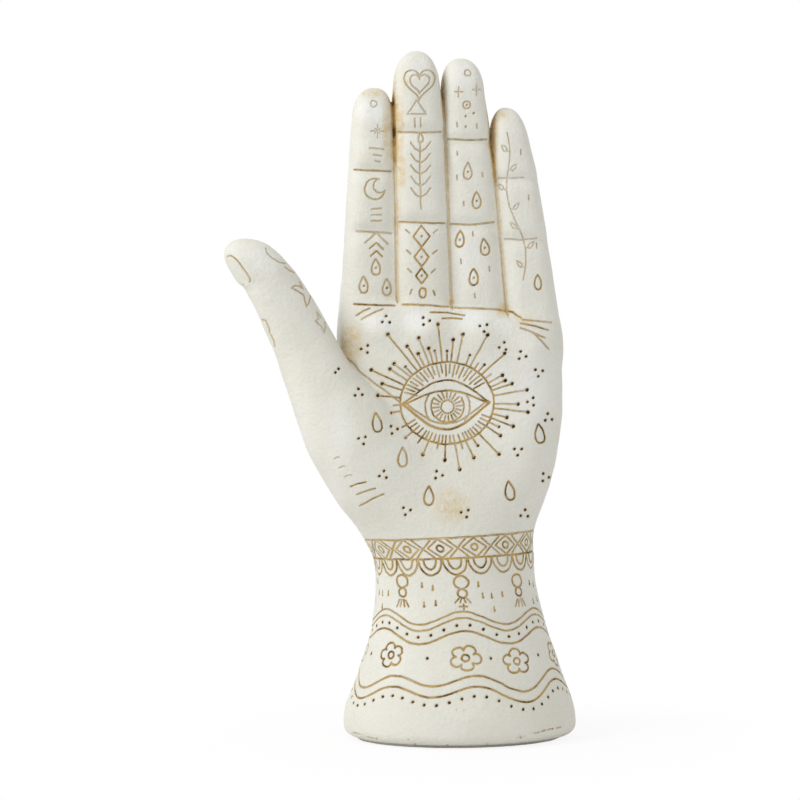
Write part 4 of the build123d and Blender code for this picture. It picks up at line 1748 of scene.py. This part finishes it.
@dataclass
class BallSkin(Skin):
    """The ball of the thumb, in rows that turn from the wrist into the seam of the thumb."""

    foot: Place = (-20.5, -3.0, 76.0)
    belly: Place = (-41.5, -7.0, 118.0)
    length: float = 84.0
    knee: float = 0.55
    step: float = 0.36
    far: float = 1.7

    def rays(self) -> Rays:
        """Rays from a parabola through foot, belly and seam, which turn with it.

        Returns:
            The grid.
        """
        thumb = self.surface.hand.thumb
        part = np.linspace(0.0, 1.0, int(round(self.length / self.step)))[:, None]
        foot, belly, seam = (np.array(place) for place in (self.foot, self.belly, thumb.seam))
        knee = self.knee
        line = (foot * (part - knee) * (part - 1.0) / knee
                + belly * part * (part - 1.0) / (knee * (knee - 1.0))
                + seam * part * (part - knee) / (1.0 - knee))
        turn = thumb.lean * ease(part, 0.0, 1.0)
        nod = thumb.forward * ease(part, 0.0, 1.0)
        across = np.concatenate([np.cos(turn), np.zeros_like(turn), np.sin(turn)], axis=1)
        deep = np.concatenate([-np.sin(nod) * np.sin(turn), np.cos(nod), np.sin(nod) * np.cos(turn)], axis=1)
        _, _, along = thumb.local(line)
        wide = thumb.half_width.at(along)
        thick = thumb.half_depth.at(along)
        ring = self.columns()
        reach = (across[:, None, :] * (wide[:, None] * ring[:, 0])[..., None]
                 + deep[:, None, :] * (thick[:, None] * ring[:, 1])[..., None])
        return Rays(line[:, None, :], reach)

    def field(self, points: Array) -> Array:
        """The hand, with the ball going on under the palm."""
        return self.surface.hand.solid(points, PalmSide.BALL)


@dataclass
class ThumbSkin(BallSkin):
    """The thumb, from its seam to a blunt tip; its columns go on from the ball's."""

    dome_rows: int = 44

    def rays(self) -> Rays:
        """Rays square to the thumb's axis, then turning up over its tip.

        Returns:
            The grid.
        """
        thumb = self.surface.hand.thumb
        across, deep, along = thumb.axes
        place, tilt = domed_rows(0.0, thumb.tip - thumb.dome, self.step, self.dome_rows)
        wide = thumb.half_width.at(place)
        thick = thumb.half_depth.at(place)
        ring = self.columns()
        reach = (across * (wide * np.cos(tilt))[:, None, None] * ring[None, :, :1]
                 + deep * (thick * np.cos(tilt))[:, None, None] * ring[None, :, 1:]
                 + along * (thumb.dome * np.sin(tilt))[:, None, None])
        origin = (np.array(thumb.seam) + along * place[:, None] + across * thumb.drift.at(place)[:, None]
                  + deep * thumb.sag.at(place)[:, None])
        return Rays(origin[:, None, :], reach)


@dataclass
class FingerSkin(Skin):
    """One finger, from just under the knuckle seam to its tip, cut off at the seams with its neighbours."""

    number: int = 0
    step: float = 0.38
    tuck: float = 1.5
    tuck_depth: float = 0.6
    overlap: float = 0.12
    dome_rows: int = 46
    near: float = 0.4
    far: float = 1.5
    typical: Point = (10.3, 10.3)
    fullness: float = 3.0
    spacing: Point = (0.36, 0.55)

    @property
    def finger(self) -> Finger:
        """The finger's sizes."""
        return self.surface.hand.fingers[self.number]

    def rays(self) -> Rays:
        """Rays from the finger's axis, tilted as the seam at its foot and turning up over its tip.

        Returns:
            The grid.
        """
        finger = self.finger
        seam = self.surface.hand.trunk.knuckles
        start = finger.tip - finger.dome
        foot = float(seam.at(finger.middle(np.array(seam.height)))) - self.tuck
        heights, tilt = domed_rows(foot, start, self.step, self.dome_rows)
        slope = -math.tan(seam.tilt) * (1.0 - ease(heights, foot, start))
        wide = finger.half_width(heights)
        thick = np.full(len(heights), finger.depth)
        reach = level_reach(wide * np.cos(tilt), thick * np.cos(tilt), self.columns())
        reach[..., 2] = slope[:, None] * reach[..., 0] + (finger.dome * np.sin(tilt))[:, None]
        origin = np.stack([finger.middle(heights), np.full(len(heights), finger.forward), heights], axis=1)
        return Rays(origin[:, None, :], reach)

    def field(self, points: Array) -> Array:
        """The hand, cut off just past the seams with the finger's neighbours.

        Args:
            points: where.

        Returns:
            Signed distances.
        """
        finger = self.finger
        gap = self.surface.hand.solid(points)
        if self.number > 0:
            gap = np.maximum(gap, finger.left.at(points[:, 2]) - self.overlap - points[:, 0])
        if self.number < len(self.surface.hand.fingers) - 1:
            gap = np.maximum(gap, points[:, 0] - finger.right.at(points[:, 2]) - self.overlap)
        return gap

    def sink(self, points: Array) -> Array:
        """How far the foot is pressed in below the knuckle seam, under the palm's skin."""
        up = points[:, 2] - self.surface.hand.trunk.knuckles.at(points[:, 0])
        return self.tuck_depth * ease(up, 0.0, -self.tuck)


@dataclass
class FeltPad:
    """The felt under the foot: a thin oval with a soft edge and a faintly matted face."""

    floor: float
    half: Point
    columns: int = 180
    rings: int = 40
    flat_span: Point = (0.05, 0.97)
    edge: float = 0.015
    waver: float = 0.003
    mat: float = 0.05

    def build(self) -> bpy.types.Object:
        """Make the pad as rings out along the underside, around the edge and back over the top.

        Returns:
            The piece.
        """
        turn = np.linspace(0.0, 2.0 * np.pi, self.columns + 1)[:-1]
        under = np.linspace(*self.flat_span, self.rings)
        bend = np.linspace(-np.pi / 2.0, np.pi / 2.0, 9)
        scale = np.concatenate([under, 1.0 - self.edge + self.edge * np.cos(bend), under[::-1]])
        height = np.concatenate([np.zeros(self.rings), self.floor * (0.5 + 0.5 * np.sin(bend)),
                                 np.full(self.rings, self.floor)])
        mat = self.mat * np.sin(37.0 * turn) * np.sin(23.0 * turn + 1.0)
        rim = 1.0 + self.waver * np.sin(19.0 * turn)
        grid = np.zeros((len(scale), len(turn), 3))
        grid[..., 0] = self.half[0] * scale[:, None] * np.cos(turn) * rim
        grid[..., 1] = self.half[1] * scale[:, None] * np.sin(turn) * rim
        grid[..., 2] = np.clip(height[:, None] + mat * np.sin(60.0 * scale)[:, None], 0.0, self.floor)
        piece = write_mesh("felt_pad", grid, np.zeros(3), np.array([0.0, 0.0, self.floor]), {})
        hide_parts("base_felt")
        return piece

    def dress(self, piece: bpy.types.Object, finish: bpy.types.Material) -> None:
        """Give the built piece its finish."""
        cover(piece, finish)


@dataclass(frozen=True)
class BaseDisc:
    """The disc in the foot, which keeps its CAD shape."""

    node: str = "base_disc"

    def dress(self, finish: bpy.types.Material) -> None:
        """Give the CAD piece its finish."""
        cover(bpy.data.objects[self.node], finish)
        LOG.info("%s: CAD shape", self.node)


class Shader:
    """A material or a world under construction."""

    def __init__(self, owner: bpy.types.Material | bpy.types.World) -> None:
        """Start with no nodes.

        Args:
            owner: the material or world.
        """
        self.owner = owner
        self.owner.use_nodes = True
        self.tree = self.owner.node_tree
        self.tree.nodes.clear()

    def node(self, kind: str, settings: dict[str, object] | None = None, **sockets: object) -> bpy.types.Node:
        """Add a node; a socket is named with underscores for spaces, and takes a value or another's output.

        Args:
            kind: Blender's name for it.
            settings: its own properties.
            sockets: what goes in by name, or by number as i0, i1 and so on.

        Returns:
            The node.
        """
        made = self.tree.nodes.new(kind)
        for key, value in (settings or {}).items():
            setattr(made, key, value)
        for key, value in sockets.items():
            numbered = key[0] == "i" and key[1:].isdigit()
            socket = made.inputs[int(key[1:]) if numbered else key.replace("_", " ")]
            if isinstance(value, bpy.types.NodeSocket):
                self.tree.links.new(value, socket)
            else:
                socket.default_value = value
        return made

    def layer(self, name: str) -> bpy.types.NodeSocket:
        """Value of a mesh attribute."""
        return self.node("ShaderNodeAttribute", {"attribute_name": name}).outputs["Fac"]

    def noise(self, scale: float, detail: float = 3.0, rough: float = 0.55) -> bpy.types.NodeSocket:
        """Noise on object coordinates, with scale in features per metre.

        Args:
            scale: of the features.
            detail: octaves.
            rough: share of each finer octave.

        Returns:
            Values about a half.
        """
        where = self.node("ShaderNodeTexCoord").outputs["Object"]
        made = self.node("ShaderNodeTexNoise", Vector=where, Scale=scale, Detail=detail, Roughness=rough)
        return made.outputs["Fac"]

    def span(self, value: bpy.types.NodeSocket, low: float, high: float, start: float = 0.0,
             end: float = 1.0) -> bpy.types.NodeSocket:
        """Value mapped from one span to another, held at both ends."""
        return self.node("ShaderNodeMapRange", {"clamp": True}, Value=value, From_Min=low, From_Max=high,
                         To_Min=start, To_Max=end).outputs[0]

    def plus(self, first: object, second: object) -> bpy.types.NodeSocket:
        """Sum."""
        return self.node("ShaderNodeMath", {"operation": "ADD"}, i0=first, i1=second).outputs[0]

    def times(self, first: object, second: object) -> bpy.types.NodeSocket:
        """Product, held to at most one."""
        settings = {"operation": "MULTIPLY", "use_clamp": True}
        return self.node("ShaderNodeMath", settings, i0=first, i1=second).outputs[0]

    def blend(self, amount: object, first: object, second: object) -> bpy.types.NodeSocket:
        """Mix of two colours."""
        made = self.node("ShaderNodeMix", {"data_type": "RGBA"}, i0=amount, i6=first, i7=second)
        return made.outputs[2]

    def finish(self, shader: bpy.types.NodeSocket) -> bpy.types.Material:
        """Send a shader to the output."""
        self.node("ShaderNodeOutputMaterial", Surface=shader)
        return self.owner


@dataclass(frozen=True)
class WashedCeramic:
    """Matte off-white ceramic with a brown wash worked into its cuts, and painted highlights on lit places.
    """

    body: Colour = (0.765, 0.755, 0.685, 1.0)
    shade: Colour = (0.72, 0.705, 0.615, 1.0)
    tan: Colour = (0.58, 0.395, 0.140, 1.0)
    brown: Colour = (0.135, 0.066, 0.012, 1.0)
    umber: Colour = (0.030, 0.018, 0.010, 1.0)
    stain: Colour = (0.65, 0.49, 0.24, 1.0)
    painted_highlight: Colour = (0.85, 0.85, 0.815, 1.0)
    roughness: float = 0.62

    def build(self) -> bpy.types.Material:
        """Make the material: mottled body with painted highlights, then stain, then tan to brown wash, over
        grain.

        Returns:
            The material.
        """
        shader = Shader(bpy.data.materials.new("washed_ceramic"))
        mottle = shader.span(shader.noise(45.0, 4.0), 0.35, 0.7)
        colour = shader.blend(mottle, self.body, self.shade)
        speckle = shader.span(shader.noise(900.0, 4.0, 0.7), 0.50, 0.72, 0.0, 0.5)
        colour = shader.blend(speckle, colour, self.shade)
        patch = shader.span(shader.noise(420.0, 5.0, 0.7), 0.36, 0.64)
        # Painted highlight: where stain is below zero the body is lightened to a whiter colour, standing in
        # for light.
        colour = shader.blend(shader.span(shader.layer("stain"), 0.0, -1.0), colour, self.painted_highlight)
        smear = shader.times(shader.layer("stain"), shader.span(patch, 0.0, 1.0, 0.15, 1.15))
        colour = shader.blend(shader.span(smear, 0.0, 1.0, 0.0, 0.9), colour, self.stain)
        cut = shader.layer("wash")
        ragged = shader.span(shader.noise(1100.0, 3.0, 0.6), 0.3, 0.7, -0.06, 0.06)
        line = shader.plus(shader.layer("line"), ragged)
        worn = shader.span(shader.noise(260.0, 4.0, 0.65), 0.28, 0.58, 0.55, 1.0)
        wash = shader.times(cut, worn)
        inside = shader.span(line, 0.58, 0.70)
        colour = shader.blend(shader.times(inside, shader.span(wash, 0.0, 0.55)), colour, self.tan)
        patchy = shader.span(shader.noise(150.0, 4.0, 0.6), 0.44, 0.60, 0.0, 1.0)
        deep = shader.times(shader.span(line, 0.60, 0.74), shader.span(wash, 0.40, 0.80))
        colour = shader.blend(shader.times(deep, patchy), colour, self.brown)
        black = shader.times(shader.span(line, 0.62, 0.80), shader.span(cut, 0.98, 1.14))
        colour = shader.blend(black, colour, self.umber)
        groove = shader.node("ShaderNodeBump", Strength=0.8, Distance=0.0005,
                             Height=shader.span(line, 0.45, 0.85, 1.0, 0.0))
        grain = shader.noise(700.0, 5.0, 0.65)
        uneven = shader.node("ShaderNodeBump", Strength=0.35, Distance=0.001,
                             Height=shader.noise(240.0, 4.0, 0.6), Normal=groove.outputs[0])
        bump_node = shader.node("ShaderNodeBump", Strength=0.75, Distance=0.0005, Height=grain,
                                Normal=uneven.outputs[0])
        base = shader.node("ShaderNodeBsdfPrincipled", Base_Color=colour, Roughness=self.roughness,
                           Specular_IOR_Level=0.25, Normal=bump_node.outputs[0])
        return shader.finish(base.outputs[0])


@dataclass(frozen=True)
class BareBisque:
    """Unglazed disc that closes the foot."""

    body: Colour = (0.62, 0.55, 0.44, 1.0)
    roughness: float = 0.85

    def build(self) -> bpy.types.Material:
        """Make the material: one clay colour with a fine grain.

        Returns:
            The material.
        """
        shader = Shader(bpy.data.materials.new("bare_bisque"))
        grain = shader.node("ShaderNodeBump", Strength=0.2, Distance=0.0003, Height=shader.noise(1200.0))
        base = shader.node("ShaderNodeBsdfPrincipled", Base_Color=self.body, Roughness=self.roughness,
                           Normal=grain.outputs[0])
        return shader.finish(base.outputs[0])


@dataclass(frozen=True)
class FeltCloth:
    """Short-haired felt."""

    pile: Colour = (0.66, 0.62, 0.53, 1.0)
    fleck: Colour = (0.74, 0.71, 0.63, 1.0)

    def build(self) -> bpy.types.Material:
        """Make the material: two shades of pile with a deep matted bump.

        Returns:
            The material.
        """
        shader = Shader(bpy.data.materials.new("base_felt"))
        matted = shader.noise(2500.0, 5.0, 0.75)
        colour = shader.blend(shader.span(matted, 0.35, 0.65), self.pile, self.fleck)
        nap = shader.node("ShaderNodeBump", Strength=0.5, Distance=0.0004, Height=matted)
        base = shader.node("ShaderNodeBsdfPrincipled", Base_Color=colour, Roughness=0.95, Sheen_Weight=0.4,
                           Normal=nap.outputs[0])
        return shader.finish(base.outputs[0])


@dataclass(frozen=True)
class SoftLight:
    """A square light that faces the hand; lengths in metres."""

    name: str
    place: Place
    size: float
    power: float
    aim: Place = (0.0, 0.0, 0.14)

    def build(self) -> None:
        """Hang the light."""
        lamp = bpy.data.lights.new(self.name, "AREA")
        lamp.size = self.size
        lamp.energy = self.power
        holder = bpy.data.objects.new(self.name, lamp)
        bpy.context.scene.collection.objects.link(holder)
        aim = np.array(self.aim) - np.array(self.place)
        nod = math.atan2(math.hypot(aim[0], aim[1]), -aim[2])
        holder.location = self.place
        holder.rotation_euler = (nod, 0.0, math.atan2(aim[1], aim[0]) - math.pi / 2.0)


@dataclass(frozen=True)
class Studio:
    """White studio: a pale floor that fades to white, soft lights and the photograph's camera."""

    easel: Easel
    ambient: float = 0.68
    floor_size: float = 6.0
    floor_drop: float = 0.0001
    floor_fade: Point = (0.045, 0.14)
    floor_white: float = 0.88
    sensor: float = 36.0
    lights: tuple[SoftLight, ...] = (SoftLight("key", (-1.4, -0.55, 1.35), 0.8, 18.5),
                                     SoftLight("fill", (1.45, -0.9, 0.2), 1.0, 1.2))

    def floor(self) -> None:
        """Lay the floor: it shows a shadow near the hand and turns white for the camera further off."""
        half = self.floor_size / 2.0
        mesh = bpy.data.meshes.new("floor")
        corners = [(-half, -half, 0), (half, -half, 0), (half, half, 0), (-half, half, 0)]
        mesh.from_pydata(corners, [], [(0, 1, 2, 3)])
        plane = bpy.data.objects.new("floor", mesh)
        plane.location.z = -self.floor_drop
        bpy.context.scene.collection.objects.link(plane)
        shader = Shader(bpy.data.materials.new("pale_floor"))
        where = shader.node("ShaderNodeTexCoord").outputs["Object"]
        far = shader.node("ShaderNodeVectorMath", {"operation": "LENGTH"}, i0=where).outputs["Value"]
        camera = shader.node("ShaderNodeLightPath").outputs["Is Camera Ray"]
        fade = shader.times(camera, shader.span(far, *self.floor_fade, self.floor_white, 1.0))
        matt = shader.node("ShaderNodeBsdfDiffuse", Color=(0.9, 0.9, 0.9, 1.0))
        glow = shader.node("ShaderNodeEmission", Color=WHITE, Strength=1.0)
        mix = shader.node("ShaderNodeMixShader", i0=fade, i1=matt.outputs[0], i2=glow.outputs[0])
        mesh.materials.append(shader.finish(mix.outputs[0]))

    def world(self) -> None:
        """Even light from all around; white to the camera, a reflection or a see-through ray."""
        world = bpy.data.worlds.new("studio")
        bpy.context.scene.world = world
        shader = Shader(world)
        path = shader.node("ShaderNodeLightPath")
        seen = path.outputs["Is Camera Ray"]
        for name in ("Is Glossy Ray", "Is Transmission Ray"):
            either = shader.node("ShaderNodeMath", {"operation": "MAXIMUM"}, i0=seen, i1=path.outputs[name])
            seen = either.outputs[0]
        light = shader.node("ShaderNodeBackground", Color=WHITE, Strength=self.ambient)
        white = shader.node("ShaderNodeBackground", Color=WHITE)
        mix = shader.node("ShaderNodeMixShader", i0=seen, i1=light.outputs[0], i2=white.outputs[0])
        shader.node("ShaderNodeOutputWorld", Surface=mix.outputs[0])

    def camera(self) -> None:
        """Set the camera at the easel's eye."""
        lens = bpy.data.cameras.new("camera")
        lens.sensor_width = self.sensor
        lens.lens = self.sensor * self.easel.distance / self.easel.field
        holder = bpy.data.objects.new("camera", lens)
        bpy.context.scene.collection.objects.link(holder)
        holder.location = tuple(self.easel.eye * MM)
        holder.rotation_euler = (math.pi / 2.0, 0.0, self.easel.turn)
        bpy.context.scene.camera = holder

    def build(self) -> None:
        """Set up floor, world, lights, camera and colour."""
        self.floor()
        self.world()
        for light in self.lights:
            light.build()
        self.camera()
        bpy.context.scene.view_settings.view_transform = "Standard"


@dataclass
class Sculpture:
    """The ceramic hand: all its pieces and finishes."""

    easel: Easel = Easel()
    knuckles: KnuckleSeam = KnuckleSeam()
    row: tuple[float, ...] = (-45.0, -25.1, -4.3, 17.3, 38.6)
    leans: tuple[float, ...] = (3.4, -0.8, -2.0, -5.0, -9.0)
    nodes: tuple[str, ...] = ("index_finger", "middle_finger", "ring_finger", "little_finger")
    creases: tuple[Point, ...] = ((192.5, 215.5), (196.0, 230.0), (195.5, 227.0), (190.0, 213.0))
    forward: tuple[float, ...] = (0.8, -1.0, 0.2, -0.2)
    blunts: tuple[float, ...] = (2.5, 2.2, 2.4, 2.2)
    tapers: tuple[float, ...] = (0.1, 1.5, 0.9, 1.4)
    rises: tuple[float, ...] = (0.0, 0.0, 0.5, 0.0)
    root_tuck: float = 4.0

    def hand(self) -> Hand:
        """The solid, with heights read from the frame.

        Returns:
            The hand.
        """
        sides = [Side((across, float(self.knuckles.at(across))), lean)
                 for across, lean in zip(self.row, self.leans)]
        fingers = []
        for number, node in enumerate(self.nodes):
            left, right = sides[number:number + 2]
            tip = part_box(node)[1].z / MM + self.rises[number]
            foot = (left.foot[1] + right.foot[1]) / 2.0 - self.root_tuck
            fingers.append(Finger(left, right, tip, foot, self.creases[number], self.forward[number],
                                  blunt=self.blunts[number], taper=self.tapers[number]))
        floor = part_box("base_felt")[1].z / MM
        pads = tuple((left + right) / 2.0 for left, right in zip(self.row, self.row[1:]))
        return Hand(Trunk(floor, self.knuckles, pads), ThumbLine(), tuple(fingers))

    def skins(self, hand: Hand) -> list[Skin]:
        """The skins of the ceramic members, from the foot up.

        Args:
            hand: the solid that they lie on.

        Returns:
            The skins, not yet built.
        """
        surface = Surface(hand, self.easel, FrontArt().draw(), CuffArt().draw())
        skins: list[Skin] = [
            CuffSkin("cuff_skin", "wrist_cuff", surface, floor=hand.trunk.floor),
            PalmSkin("palm_skin", "palm_body", surface),
            BallSkin("ball_skin", "palm_body", surface),
            ThumbSkin("thumb_skin", "thumb", surface),
        ]
        for number, node in enumerate(self.nodes):
            skins.append(FingerSkin(f"{node}_skin", node, surface, number=number))
        return skins

    def build(self) -> None:
        """Make all pieces of the hand, and give each of them, and the CAD disc, its finish."""
        hand = self.hand()
        made = [(skin, skin.build()) for skin in self.skins(hand)]
        low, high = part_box("base_felt")
        pad = FeltPad(hand.trunk.floor, ((high.x - low.x) / 2 / MM, (high.y - low.y) / 2 / MM))
        felt = pad.build()
        ceramic = WashedCeramic().build()
        for skin, piece in made:
            skin.dress(piece, ceramic)
        pad.dress(felt, FeltCloth().build())
        BaseDisc().dress(BareBisque().build())


def main() -> None:
    """Build the sculpture and its studio."""
    logging.basicConfig(level=logging.INFO)
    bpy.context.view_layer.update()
    sculpture = Sculpture()
    sculpture.build()
    Studio(sculpture.easel).build()


if __name__ == "__main__":
    main()
